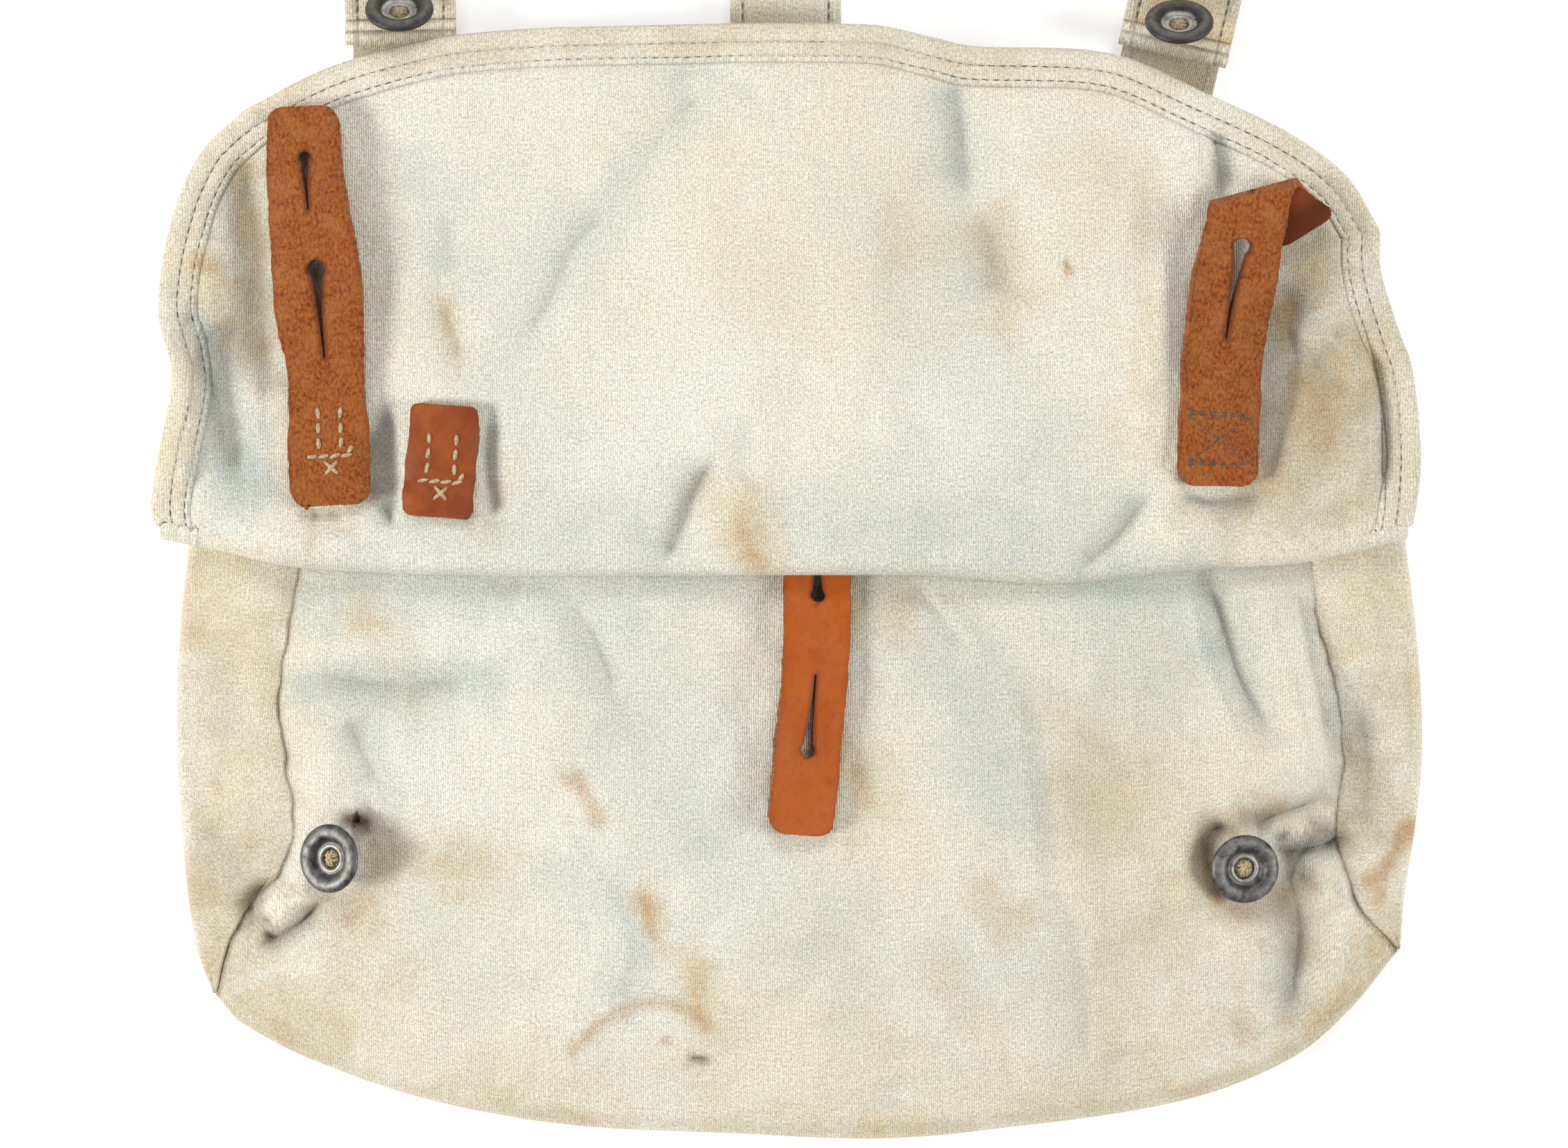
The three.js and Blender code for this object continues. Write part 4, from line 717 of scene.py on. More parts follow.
def frame_shift():
    """Millimetres from the bag's axes to the frame's: the middle strap gives x and the front panel y."""
    low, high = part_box("belt_loop_centre")
    x = (low.x + high.x) / 2 / MM - STRAP_CENTRE["x"] * HALF_BODY
    return np.array([x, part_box("front_panel")[0].y / MM, 0])


SHIFT = frame_shift()


def in_frame(points):
    """Points in millimetres on the bag as metres in the frame."""
    return (np.asarray(points, float) + SHIFT) * MM


def stacked(*values):
    """Coordinates joined into points."""
    return np.stack(np.broadcast_arrays(*values), -1).astype(float)


def coons(low, high, left, right, u, v):
    """Points inside four boundary lines; u and v are the shares along them."""
    u, v = u[None, :, None], v[:, None, None]
    rows = mix(low[None], high[None], v)
    cols = mix(left[:, None], right[:, None], u)
    corners = mix(mix(low[0], low[-1], u), mix(high[0], high[-1], u), v)
    return rows + cols - corners


def new_object(name, bm, materials, bend=True):
    """An object in the scene from a finished bmesh."""
    for face in bm.faces:
        face.smooth = bend
    mesh = bpy.data.meshes.new(name)
    bm.to_mesh(mesh)
    bm.free()
    obj = bpy.data.objects.new(name, mesh)
    bpy.context.scene.collection.objects.link(obj)
    for material in materials:
        mesh.materials.append(material)
    return obj


def closed_object(name, bm, material, bend=True):
    """An object from a finished bmesh, with its faces pointing outwards."""
    bmesh.ops.recalc_face_normals(bm, faces=bm.faces)
    return new_object(name, bm, [material], bend)


class Cloth:
    """A sheet joined from grids that share their edges, with its cloth coordinates and marks."""

    def __init__(self):
        self.bm = bmesh.new()
        self.flat = self.bm.verts.layers.float_vector.new("cloth")
        self.tint = self.bm.verts.layers.float_color.new("marks")

    def grid(self, points, flat, tint):
        """Adds a grid through rows of points in millimetres; flat is each point's place on the flat cloth."""
        rows, cols = points.shape[:2]
        made = bmesh.ops.create_grid(self.bm, x_segments=cols - 1, y_segments=rows - 1, size=0.5)
        place = in_frame(points)
        for vert in made["verts"]:
            j, i = round((vert.co.x + 0.5) * (cols - 1)), round((vert.co.y + 0.5) * (rows - 1))
            vert.co = place[i, j]
            vert[self.flat] = (flat[i, j, 0] * MM, flat[i, j, 1] * MM, 0)
            vert[self.tint] = tint[i, j]

    def finish(self, name, thickness, materials, other_side=0, rim=0):
        """Makes the object, walled to a thickness in millimetres."""
        bmesh.ops.remove_doubles(self.bm, verts=self.bm.verts, dist=0.02 * MM)
        obj = new_object(name, self.bm, materials)
        wall = obj.modifiers.new("wall", "SOLIDIFY")
        wall.thickness = thickness * MM
        wall.offset = 0
        wall.material_offset = other_side
        wall.material_offset_rim = rim
        return obj


def cloth_tint(x, y, valleys, soil_and_shade=0):
    """The marks of points as colours: cool, tan, rust, and dark in the last channel. Cool and dark also take painted
    shade from the depth of the folds' valleys.
    """
    found = marks(x, y)
    # Painted shade in the folds: blue-grey and darker with the depth of each valley.
    painted_cool_shade = np.maximum(found["painted_cool_shade"], np.clip(-valleys / 4, 0, 0.7))
    dark = np.maximum(np.maximum(found["dark"], np.clip(-valleys / 6 - 0.3, 0, 0.45)), soil_and_shade)
    return np.stack([painted_cool_shade, found["tan"], found["rust"], dark], -1)


def canvas_piece(name, node, *grids):
    """A piece of canvas from grids of points, cloth coordinates and marks."""
    cloth = Cloth()
    for grid in grids:
        cloth.grid(*grid)
    return rides(cloth.finish(name, CLOTH, [material_set()["washed canvas"]]), node)


def arcs(points):
    """Distance along rows of points."""
    steps = np.linalg.norm(np.diff(points, axis=0), axis=-1)
    return np.concatenate([np.zeros((1,) + steps.shape[1:]), np.cumsum(steps, 0)])


# Node helpers


class Nodes:
    """Adds nodes to a material or a group and joins them."""

    def __init__(self, tree):
        self.tree = tree

    def put(self, socket, value):
        if isinstance(value, bpy.types.NodeSocket):
            self.tree.links.new(value, socket)
        else:
            socket.default_value = value

    def add(self, kind, inputs=None, **settings):
        node = self.tree.nodes.new("ShaderNode" + kind)
        for key, value in settings.items():
            setattr(node, key, value)
        for key, value in (inputs or {}).items():
            self.put(node.inputs[key], value)
        return node

    def group(self, group, inputs):
        node = self.tree.nodes.new("ShaderNodeGroup")
        node.node_tree = group
        for key, value in inputs.items():
            self.put(node.inputs[key], value)
        return node.outputs

    def layer(self, name):
        """What the mesh holds under a name: cloth coordinates or marks."""
        return self.add("Attribute", attribute_name=name).outputs

    def math(self, operation, *values):
        return self.add("Math", dict(enumerate(values)), operation=operation).outputs[0]

    def vector(self, operation, inputs):
        return self.add("VectorMath", inputs, operation=operation).outputs[0]

    def noise(self, vector, scale, detail=4.0, roughness=0.55, distortion=0.0):
        inputs = {"Vector": vector, "Scale": scale, "Detail": detail}
        inputs |= {"Roughness": roughness, "Distortion": distortion}
        return self.add("TexNoise", inputs).outputs["Fac"]

    def stretch(self, vector, scale):
        return self.add("Mapping", {"Vector": vector, "Scale": scale}).outputs[0]

    def span(self, value, low, high, to_low=0.0, to_high=1.0):
        inputs = {"Value": value, "From Min": low, "From Max": high, "To Min": to_low, "To Max": to_high}
        return self.add("MapRange", inputs).outputs[0]

    def blend(self, share, a, b, kind="MIX"):
        return self.add("Mix", {0: share, 6: a, 7: b}, data_type="RGBA", blend_type=kind).outputs[2]

    def lay_colour(self, base, amount, value):
        """A display colour laid over another by an amount that is held between 0 and 1."""
        return self.blend(self.add("Clamp", {"Value": amount}).outputs[0], base, colour(value))

    def bump(self, height, distance, strength=1.0, normal=None):
        inputs = {"Height": height, "Distance": distance, "Strength": strength}
        if normal is not None:
            inputs["Normal"] = normal
        return self.add("Bump", inputs).outputs[0]


def colour(value):
    """A display colour, 0 to 255, as linear light with alpha."""
    shares = [v / 255 for v in value]
    return tuple(v / 12.92 if v <= 0.04045 else ((v + 0.055) / 1.055) ** 2.4 for v in shares) + (1.0,)


def new_group(name, inputs, outputs):
    """An empty shader group with named sockets; returns it, its node helper, and its input and output sockets."""
    group = bpy.data.node_groups.new(name, "ShaderNodeTree")
    kinds = {"value": "NodeSocketFloat", "vector": "NodeSocketVector", "colour": "NodeSocketColor"}
    for label, kind, start in inputs:
        socket = group.interface.new_socket(name=label, in_out="INPUT", socket_type=kinds[kind])
        if start is not None:
            socket.default_value = start
    for label, kind in outputs:
        group.interface.new_socket(name=label, in_out="OUTPUT", socket_type=kinds[kind])
    start, end = group.nodes.new("NodeGroupInput"), group.nodes.new("NodeGroupOutput")
    return group, Nodes(group), start.outputs, end.inputs


def weave_group():
    """Plain canvas weave: upright ribs crossed by finer threads, with uneven threads."""
    inputs = (("Cloth", "vector", None), ("Pitch", "value", 0.0006))
    group, n, start, end = new_group("haversack weave", inputs, (("Height", "value"), ("Thread", "value")))
    cloth, pitch = start["Cloth"], start["Pitch"]
    wobble = n.add("TexNoise", {"Vector": cloth, "Scale": 260.0, "Detail": 2.0}).outputs["Color"]
    small = n.vector("SCALE", {0: n.vector("SUBTRACT", {0: wobble, 1: (0.5, 0.5, 0.5)}), "Scale": 0.0007})
    parts = n.add("SeparateXYZ", {"Vector": n.vector("ADD", {0: cloth, 1: small})}).outputs
    u = n.math("DIVIDE", parts[0], pitch)
    v = n.math("DIVIDE", parts[1], pitch)
    rib = n.math("FLOOR", u)
    across = n.math("ABSOLUTE", n.math("SINE", n.math("MULTIPLY", u, math.pi)))
    shifted = n.math("MULTIPLY_ADD", rib, 0.5, v)
    along = n.math("ABSOLUTE", n.math("SINE", n.math("MULTIPLY", shifted, math.pi)))
    height = n.math("ADD", n.math("MULTIPLY", across, 0.55), n.math("MULTIPLY", along, 0.45))
    ribs = n.noise(n.stretch(cloth, (1400.0, 60.0, 1.0)), 1.0, 2.0)
    picks = n.noise(n.stretch(cloth, (60.0, 1400.0, 1.0)), 1.0, 2.0)
    n.put(end["Height"], height)
    n.put(end["Thread"], n.math("MULTIPLY", n.math("ADD", ribs, picks), 0.5))
    return group


def fibre_group():
    """The nap of rough leather: short fibres along the strip over broad patches."""
    inputs = (("Vector", "vector", None), ("Grain", "value", 1.0))
    group, n, start, end = new_group("haversack nap", inputs, (("Fibres", "value"), ("Patches", "value")))
    scaled = n.vector("SCALE", {0: start["Vector"], "Scale": start["Grain"]})
    n.put(end["Fibres"], n.noise(n.stretch(scaled, (1250.0, 850.0, 1000.0)), 1.0, 5.0, 0.75, 0.3))
    n.put(end["Patches"], n.noise(scaled, 160.0, 4.0, 0.6, 0.4))
    return group


def new_material(name, plain):
    """A material with its shader set to plain values; returns its node helper and the shader's sockets."""
    material = bpy.data.materials.new(name)
    material.use_nodes = True
    material.node_tree.nodes.clear()
    n = Nodes(material.node_tree)
    shader = n.add("BsdfPrincipled", plain)
    n.add("OutputMaterial", {"Surface": shader.outputs[0]})
    return n, shader.inputs


def canvas_material(name, colours, sizes, weave, strength):
    """Old washed canvas: weave, blue-grey painted shade in hollows, tan and rust stains, and soil with painted
    shade.
    """
    n, shader = new_material(name, {"Sheen Weight": 0.12, "Specular IOR Level": 0.2})
    cloth = n.layer("cloth")["Vector"]
    tint = n.layer("marks")
    painted_cool_shade, tan, rust = n.add("SeparateXYZ", {"Vector": tint["Vector"]}).outputs
    place = n.add("TexCoord").outputs["Object"]
    threads = n.group(weave, {"Cloth": cloth, "Pitch": sizes.weave_pitch})
    broad = n.noise(place, 14.0, 5.0, 0.6)
    patchy = n.noise(place, 55.0, 5.0, 0.65, 0.5)
    base = n.blend(n.span(broad, 0.35, 0.68), colour(colours.canvas_pale), colour(colours.canvas_warm))
    uneven = n.span(patchy, 0.3, 0.7, 0.55, 1.25)
    # Blue-grey painted shade in hollows and folds, scaled by strength and broken up by patchy noise.
    base = n.lay_colour(base, n.math("MULTIPLY", n.math("MULTIPLY", painted_cool_shade, uneven), strength), colours.cool_shade_canvas)
    for mark, reach, value in (
        (tan, (0.36, 0.66, 0.25, 1.35), colours.stain_tan),
        (rust, (0.3, 0.7, 0.6, 1.3), colours.stain_rust),
        (tint["Alpha"], (0.3, 0.7, 0.75, 1.15), colours.soil_and_shade),
    ):
        base = n.lay_colour(base, n.math("MULTIPLY", mark, n.span(patchy, *reach)), value)
    speck = n.span(n.noise(place, 900.0, 2.0, 0.5), 0.68, 0.76, 0.0, 0.35)
    base = n.blend(speck, base, colour(colours.stain_tan), "MULTIPLY")
    # Painted shade in the weave: the colour is darker where the threads lie low; the two factors after it vary the
    # threads' tone at random.
    shade = n.span(threads["Height"], 0.1, 0.95, 0.72, 1.06)
    shade = n.math("MULTIPLY", shade, n.span(n.noise(cloth, 1500.0, 1.0), 0.3, 0.7, 0.76, 1.18))
    shade = n.math("MULTIPLY", shade, n.span(threads["Thread"], 0.3, 0.7, 0.93, 1.05))
    grey = n.add("CombineColor", {"Red": shade, "Green": shade, "Blue": shade}).outputs[0]
    n.put(shader["Base Color"], n.blend(1.0, base, grey, "MULTIPLY"))
    n.put(shader["Roughness"], n.span(patchy, 0.2, 0.8, 0.82, 0.95))
    normal = n.bump(n.noise(place, 130.0, 4.0, 0.6), 0.0016, 0.7)
    normal = n.bump(threads["Thread"], 0.00025, 0.5, normal)
    n.put(shader["Normal"], n.bump(threads["Height"], 0.00022, 0.8, normal))


def rough_leather_material(colours, nap):
    """The flesh side of the leather, orange brown and fibrous."""
    plain = {"Roughness": 0.95, "Specular IOR Level": 0.15, "Sheen Weight": 0.15}
    n, shader = new_material("rough leather", plain)
    made = n.group(nap, {"Vector": n.layer("cloth")["Vector"], "Grain": 1.0})
    fibres, patches = made["Fibres"], made["Patches"]
    dark = colour(colours.leather_dark)
    base = n.blend(n.span(fibres, 0.38, 0.58, 0.12, 1.0), dark, colour(colours.leather_rough))
    base = n.blend(n.span(patches, 0.42, 0.7, 0.0, 0.5), base, colour(colours.leather_pale))
    n.put(shader["Base Color"], n.blend(n.layer("marks")["Alpha"], base, dark))
    n.put(shader["Normal"], n.bump(fibres, 0.0011, 1.0, n.bump(patches, 0.001, 0.6)))


def smooth_leather_material(name, base_colour, colours, nap):
    """The grain side of the leather, with pores, creases and rubbed high spots."""
    n, shader = new_material(name, {"Specular IOR Level": 0.28})
    cloth = n.layer("cloth")["Vector"]
    made = n.group(nap, {"Vector": cloth, "Grain": 0.45})
    fibres, patches = made["Fibres"], made["Patches"]
    pores = n.add("TexVoronoi", {"Vector": cloth, "Scale": 1500.0}).outputs["Distance"]
    dark = colour(colours.leather_dark)
    base = n.blend(n.span(patches, 0.38, 0.66, 0.0, 0.4), colour(base_colour), colour(colours.leather_rough))
    base = n.blend(n.span(fibres, 0.5, 0.75, 0.0, 0.35), base, dark)
    n.put(shader["Base Color"], n.blend(n.layer("marks")["Alpha"], base, dark))
    n.put(shader["Roughness"], n.span(patches, 0.3, 0.7, 0.42, 0.6))
    normal = n.bump(fibres, 0.0002, 0.4, n.bump(patches, 0.0007, 0.35))
    n.put(shader["Normal"], n.bump(pores, 0.0001, 0.35, normal))


def pewter_material(colours):
    """Dull dark metal with rubbed bright ridges."""
    n, shader = new_material("dull pewter", {"Metallic": 0.85})
    place = n.add("TexCoord").outputs["Object"]
    tint = n.layer("marks")
    dulled = n.add("SeparateXYZ", {"Vector": tint["Vector"]}).outputs[0]
    patches = n.noise(place, 420.0, 5.0, 0.65)
    scratches = n.noise(n.stretch(place, (3000.0, 900.0, 900.0)), 1.0, 4.0, 0.7)
    wear = n.math("MULTIPLY", tint["Alpha"], n.span(patches, 0.3, 0.6, 0.4, 1.0))
    base = n.blend(n.span(patches, 0.35, 0.65), colour(colours.metal_dark), colour(colours.metal))
    base = n.blend(dulled, base, colour(colours.metal_dark))
    n.put(shader["Base Color"], n.lay_colour(base, wear, colours.metal_bright))
    n.put(shader["Roughness"], n.span(scratches, 0.3, 0.7, 0.46, 0.64))
    n.put(shader["Normal"], n.bump(scratches, 0.00006, 0.5, n.bump(patches, 0.0003, 0.4)))


def thread_material(name, thread_colour):
    """Twisted thread."""
    n, shader = new_material(name, {"Roughness": 0.9})
    fuzz = n.noise(n.add("TexCoord").outputs["Object"], 1800.0, 4.0, 0.7)
    dark = colour(0.62 * v for v in thread_colour)
    n.put(shader["Base Color"], n.blend(n.span(fuzz, 0.35, 0.65), dark, colour(thread_colour)))
    n.put(shader["Normal"], n.bump(fuzz, 0.0002, 0.6))


def material_set():
    """All materials by name, made once."""
    look = bpy.context.scene.haversack_colours
    sizes = bpy.context.scene.haversack_sizes
    if "washed canvas" not in bpy.data.materials:
        weave, nap = weave_group(), fibre_group()
        canvas_material("washed canvas", look, sizes, weave, 1.0)
        canvas_material("strap canvas", look, sizes, weave, 0.6)
        rough_leather_material(look, nap)
        smooth_leather_material("grain leather", tuple(look.leather_grain), look, nap)
        smooth_leather_material("red leather", tuple(look.leather_red), look, nap)
        pewter_material(look)
        thread_material("grey thread", tuple(look.thread_grey))
        thread_material("pale thread", tuple(look.thread_pale))
    return bpy.data.materials


def rides(obj, node=None):
    """Joins a finished piece to the frame, in place of its solid where it has one."""
    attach(obj, "root")
    if node:
        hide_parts(node)
    return obj


# The bag


def between_seams(low, top, u, v):
    """Points of a panel between its seams, from its lowest line up to a height less the dip of its upper edge."""
    y_left = mix(low[0, 1], top - BODY_HEIGHT * top_drop(0), v)
    y_right = mix(low[-1, 1], top - BODY_HEIGHT * top_drop(1), v)
    left = stacked(seam_left(y_left) + CLEARANCE / 2, y_left)
    right = stacked(seam_right(y_right) - CLEARANCE / 2, y_right)
    high = stacked(mix(left[-1, 0], right[-1, 0], u), top - BODY_HEIGHT * top_drop(u))
    return coons(low, high, left, right, u, v)


def at_least(tint, channel, value):
    """Raises one channel of points' marks to a value."""
    tint[..., channel] = np.maximum(tint[..., channel], value)


def bag_front():
    """The front panel, rolled under along the bottom."""
    across, roll, shown, hidden = 270, 10, 132, 14
    u = np.linspace(0, 1, across + 1)
    radius = roll_radius(*bottom_at(u))
    rows = []
    for k in range(roll):
        turn = math.radians(mix(-90, 90, k / roll))
        x, y = bottom_inset(u, CLOTH / 2 + radius - radius * math.cos(turn))
        rows.append(stacked(x, y, CLOTH / 2 + radius + radius * math.sin(turn)))
    low = stacked(*bottom_inset(u, CLOTH / 2 + radius))
    v = np.concatenate([np.linspace(0, 0.66, shown, endpoint=False), np.linspace(0.66, 1, hidden + 1)])
    plane = between_seams(low, MOUTH_HEIGHT, u, v)
    x, y = plane[..., 0], plane[..., 1]
    points = np.concatenate([np.array(rows), stacked(x, y, front_height(x, y))])
    from_seam = np.minimum(x - seam_left(y), seam_right(y) - x)
    tint = cloth_tint(x, y, folds(FRONT_FOLDS, x, y), seam_shade_and_soil(x, y, from_seam))
    under_flap = y - fold_line(x)
    # Painted shade of the flap: blue-grey under the flap, fading over about 7 mm below its fold.
    at_least(tint, 0, 0.7 * np.exp(-np.maximum(0, -under_flap) / 7))
    at_least(tint, 1, 0.4 * np.exp(-from_outline(x, y) / 28))
    # Painted shade under the flap: darker from 3 mm below the fold upwards.
    at_least(tint, 3, 0.3 * smooth((under_flap + 3) / 8))
    tint = np.concatenate([np.repeat(tint[:1], roll, 0), tint])
    flat = stacked(points[..., 0], arcs(points[:, across // 2])[:, None])
    return canvas_piece("bag_front", "front_panel", (points, flat, tint))


def bag_back():
    """The back panel, flat on the surface, with the front's marks turned over."""
    share = np.linspace(0, 1, 61)
    low = stacked(*bottom_inset(share, roll_radius(*bottom_at(share)) + CLOTH / 2 + CLEARANCE))
    plane = between_seams(low, BACK_HEIGHT - CLEARANCE / 2, share, share)
    x, y = plane[..., 0], plane[..., 1]
    points = stacked(x, y, CLOTH / 2 + lift_at(y))
    return canvas_piece("bag_back", "back_panel", (points, plane, cloth_tint(-x, y, 0 * x)))


def bag_gusset(node, outline, seam, corner, drop, inwards):
    """A gusset: from the back seam out to the bag's edge, over it, and in to the front seam."""
    flat_steps, roll, top, rows = 5, 10, 22, 120
    start = corner[1]
    while abs(float(seam(start) - outline(start))) < 0.9 * CLOTH:
        start += CLOTH / 8
    heights = mix(start, MOUTH_HEIGHT - BODY_HEIGHT * drop, np.linspace(0, 1, rows + 1))
    points = []
    for y in heights:
        edge = float(outline(y))
        width = abs(float(seam(y)) - edge) - CLEARANCE / 2
        r = min(float(roll_radius(edge, y)), 0.4 * (width - CLOTH / 2))
        low = CLOTH / 2 + float(lift_at(y))
        row = []
        for k in range(flat_steps):
            row.append((edge + inwards * mix(width, r + CLOTH / 2, k / flat_steps), y, low))
        for k in range(roll + 1):
            turn = math.radians(mix(-90, 90, k / roll))
            inset = r + CLOTH / 2 - r * math.cos(turn)
            row.append((edge + inwards * inset, y, mix(low, CLOTH / 2 + 2 * r, (1 + math.sin(turn)) / 2)))
        inset = mix(r + CLOTH / 2, width, np.arange(1, top + 1) / top)
        level = front_height(edge + inwards * inset, y + 0 * inset)
        z = mix(CLOTH / 2 + 2 * r, level, smooth(2 * inset / width))
        row += [tuple(p) for p in stacked(edge + inwards * inset, y, z)]
        points.append(row)
    points = np.array(points)
    x, y = points[..., 0], points[..., 1]
    tint = cloth_tint(x, y, folds(GUSSET_FOLDS, x, y), seam_shade_and_soil(x, y, np.abs(seam(y) - x)))
    at_least(tint, 1, 0.45)
    flat = stacked(arcs(np.swapaxes(points, 0, 1)).T * -inwards, y)
    return canvas_piece(node + "_cloth", node, (points[:, ::inwards], flat[:, ::inwards], tint[:, ::inwards]))


# The flap


def flap_edge(rows, columns, hem):
    """The flap's outline on its upper layer from the left end of the fold round to the right end: places, the
    directions inwards, and how far along it each is."""

    def line(rows, key, where, x):
        return stacked(x, FOLD_HEIGHT + FLAP_RISE * column(rows, key, "up")(where))

    left = line(FLAP_LEFT, "along", rows, -HALF_BODY * column(FLAP_LEFT, "along", "out")(rows))
    right = line(FLAP_RIGHT, "along", rows, HALF_BODY * column(FLAP_RIGHT, "along", "out")(rows))
    inner = columns[1:-1]
    top = line(FLAP_TOP, "across", inner, mix(left[-1, 0], right[-1, 0], inner))
    edge = np.concatenate([left, top, right[::-1]])
    along = arcs(edge)
    run = np.gradient(edge, along, axis=0)
    run /= np.linalg.norm(run, axis=1)[:, None]
    inwards = np.stack([run[:, 1], -run[:, 0]], 1)
    for _ in range(14):
        inwards[1:-1] = (inwards[:-2] + 2 * inwards[1:-1] + inwards[2:]) / 4
    fold_first = np.array([hem, float(fold_line(FOLD_LEFT + hem) - fold_line(FOLD_LEFT))])
    fold_last = np.array([-hem, float(fold_line(FOLD_RIGHT - hem) - fold_line(FOLD_RIGHT))])
    for k, direction in ((0, fold_first), (-1, fold_last)):
        away = along if k == 0 else along[-1] - along
        share = smooth(away / 22)[:, None]
        inwards = mix(direction / np.linalg.norm(direction), inwards, share)
    inwards /= np.linalg.norm(inwards, axis=1)[:, None]
    return edge, inwards, along


def hem_rise(distance, sizes):
    """Extra height of the hem at a distance in from the flap's edge: its turned layer and stitched grooves."""
    hem = sizes.hem_width / MM
    band = sizes.hem_step / MM * smooth((hem + 0.35 - distance) / 0.7)
    round_edge = -0.8 * smooth(1 - distance / 1.6) ** 2
    grooves = sum(0.4 * bell(distance - row, 0.7) for row in hem_rows(sizes))
    return band + round_edge - grooves


def hem_rows(sizes):
    """Distances of the two rows of stitches from the flap's edge."""
    return (sizes.hem_width / MM * 0.49, sizes.hem_width / MM * 0.88)


def hem_wave(along, distance):
    """The hem's uneven draw between its stitches."""
    wave = noise_line(along, 5.5, 2.2) * 0.35 + noise_line(along, 17, 8.8) * 0.5
    return wave * smooth(distance / 3 + 0.4) * smooth((16 - distance) / 8)


def noise_line(along, size, seed):
    return lumps(np.asarray(along, float), 0 * np.asarray(along, float), size, seed)


def flap_parts(sizes):
    """The lines of the flap's grids: distances in from the hem, shares across and up, the hem's lines and the
    distance along it, the upper layer's left, top and right lines, and shares across the fold."""
    hem_lines = np.array(HEM_LINES) * (sizes.hem_width / MM) / HEM_DRAWN
    u, v = np.linspace(0, 1, 236), np.linspace(0, 1, 102)
    edge, inwards, along = flap_edge(v, u, hem_lines[-1])
    lines = edge[:, None] + inwards[:, None] * hem_lines[None, :, None]
    count = len(v)
    left, top, right = lines[:count, -1], lines[count - 1 : -count + 1, -1], lines[: -count - 1 : -1, -1]
    first_u = (lines[0, :, 0] - FOLD_LEFT) / (FOLD_RIGHT - FOLD_LEFT)
    last_u = (lines[-1, ::-1, 0] - FOLD_LEFT) / (FOLD_RIGHT - FOLD_LEFT)
    middle_u = mix(first_u[-1], last_u[0], u)
    across = np.concatenate([first_u[:-1], middle_u, last_u[1:]])
    return hem_lines, u, v, lines, along, left, top, right, across


def flap_sheet():
    """One sheet: from the back's upper edge over the mouth, down the front, and up again from the lower fold."""
    sizes = bpy.context.scene.haversack_sizes
    hem_lines, u, v, lines, along, left, top, right, across = flap_parts(sizes)
    top_steps, under_steps, fold_steps = 10, 14, 14
    root_y = BACK_HEIGHT - BODY_HEIGHT * top_drop(across)
    ends = float(outline_left(root_y[0])) + 2 * EDGE_RADIUS, float(outline_right(root_y[-1])) - 2 * EDGE_RADIUS
    root_x = mix(*ends, across)
    root_y = root_y + CLEARANCE / 2
    root_z = CLOTH / 2 + float(lift_at(BACK_HEIGHT))
    top_radius = (flap_under(root_x, root_y) - root_z) / 2
    fold_x = mix(FOLD_LEFT, FOLD_RIGHT, across)
    fold_y = fold_line(fold_x)
    radius = (flap_over(fold_x, fold_y) - flap_under(fold_x, fold_y)) / 2
    straight = fold_y + radius + CLOTH / 2
    rows = []
    for k in range(top_steps):
        turn = math.radians(mix(-90, 90, k / top_steps))
        y, z = root_y + top_radius * math.cos(turn), root_z + top_radius * (1 + math.sin(turn))
        rows.append(stacked(root_x, y, z))
    for k in range(under_steps):
        t = k / under_steps
        x, y = mix(root_x, fold_x, t), mix(root_y, straight, t)
        rows.append(stacked(x, y, flap_under(x, y)))
    low_z, high_z = flap_under(fold_x, straight), flap_over(fold_x, straight)
    edge_in = np.minimum(across - across[0], across[-1] - across) * (FOLD_RIGHT - FOLD_LEFT)
    rise = hem_rise(edge_in, sizes)
    for k in range(fold_steps + 1):
        turn = math.radians(mix(-90, 90, k / fold_steps))
        z = mix(low_z, high_z + rise, (1 + math.sin(turn)) / 2)
        rows.append(stacked(fold_x, straight - radius * math.cos(turn), z))
    lower = np.array(rows)

    def straight_at(x):
        return np.interp(x, fold_x, straight)

    start = len(hem_lines) - 1
    base = lower[-1, start : len(across) - start, :2]
    plane = coons(base, top, side_points(left, base[0]), side_points(right, base[-1]), u, v)
    y = np.maximum(plane[..., 1], straight_at(plane[..., 0]) + 0.02 * v[:, None])
    middle = stacked(plane[..., 0], y, flap_over(plane[..., 0], y))
    band_x, band_y = lines[..., 0], lines[..., 1]
    band_y = np.maximum(band_y, straight_at(band_x) + 0.001)
    distance = hem_lines[None, :] + 0 * band_x
    height = flap_over(band_x, band_y) + hem_rise(distance, sizes)
    height = height + hem_wave(along[:, None] + 0 * distance, distance) * smooth(distance / 2)
    band = stacked(band_x, band_y, height)
    band[0], band[-1] = lower[-1, : start + 1], lower[-1, : -start - 2 : -1]
    band[: len(v), -1], band[len(v) - 1 : -len(v) + 1, -1] = middle[:, 0], middle[-1]
    band[: -len(v) - 1 : -1, -1] = middle[:, -1]
    lower = (lower, stacked(lower[..., 0], flap_flat_y(lower)), lower_tint(lower, fold_steps))
    middle, band = ((points, points[..., :2], flap_tint(points)) for points in (middle, band))
    inside_hem = sizes.hem_width / MM - distance
    # Painted shade: darker along the hem's two stitched grooves, and a painted shadow along the step at the hem's
    # inner edge.
    stitch_groove_shade = sum(0.21 * bell(distance - row, 0.5) for row in hem_rows(sizes))
    at_least(band[2], 3, np.maximum(stitch_groove_shade, 0.35 * bell(inside_hem + 0.3, 0.5)))
    at_least(band[2], 1, 0.35 * smooth(inside_hem / 3))
    return canvas_piece("flap_cloth", "flap", lower, middle, band)


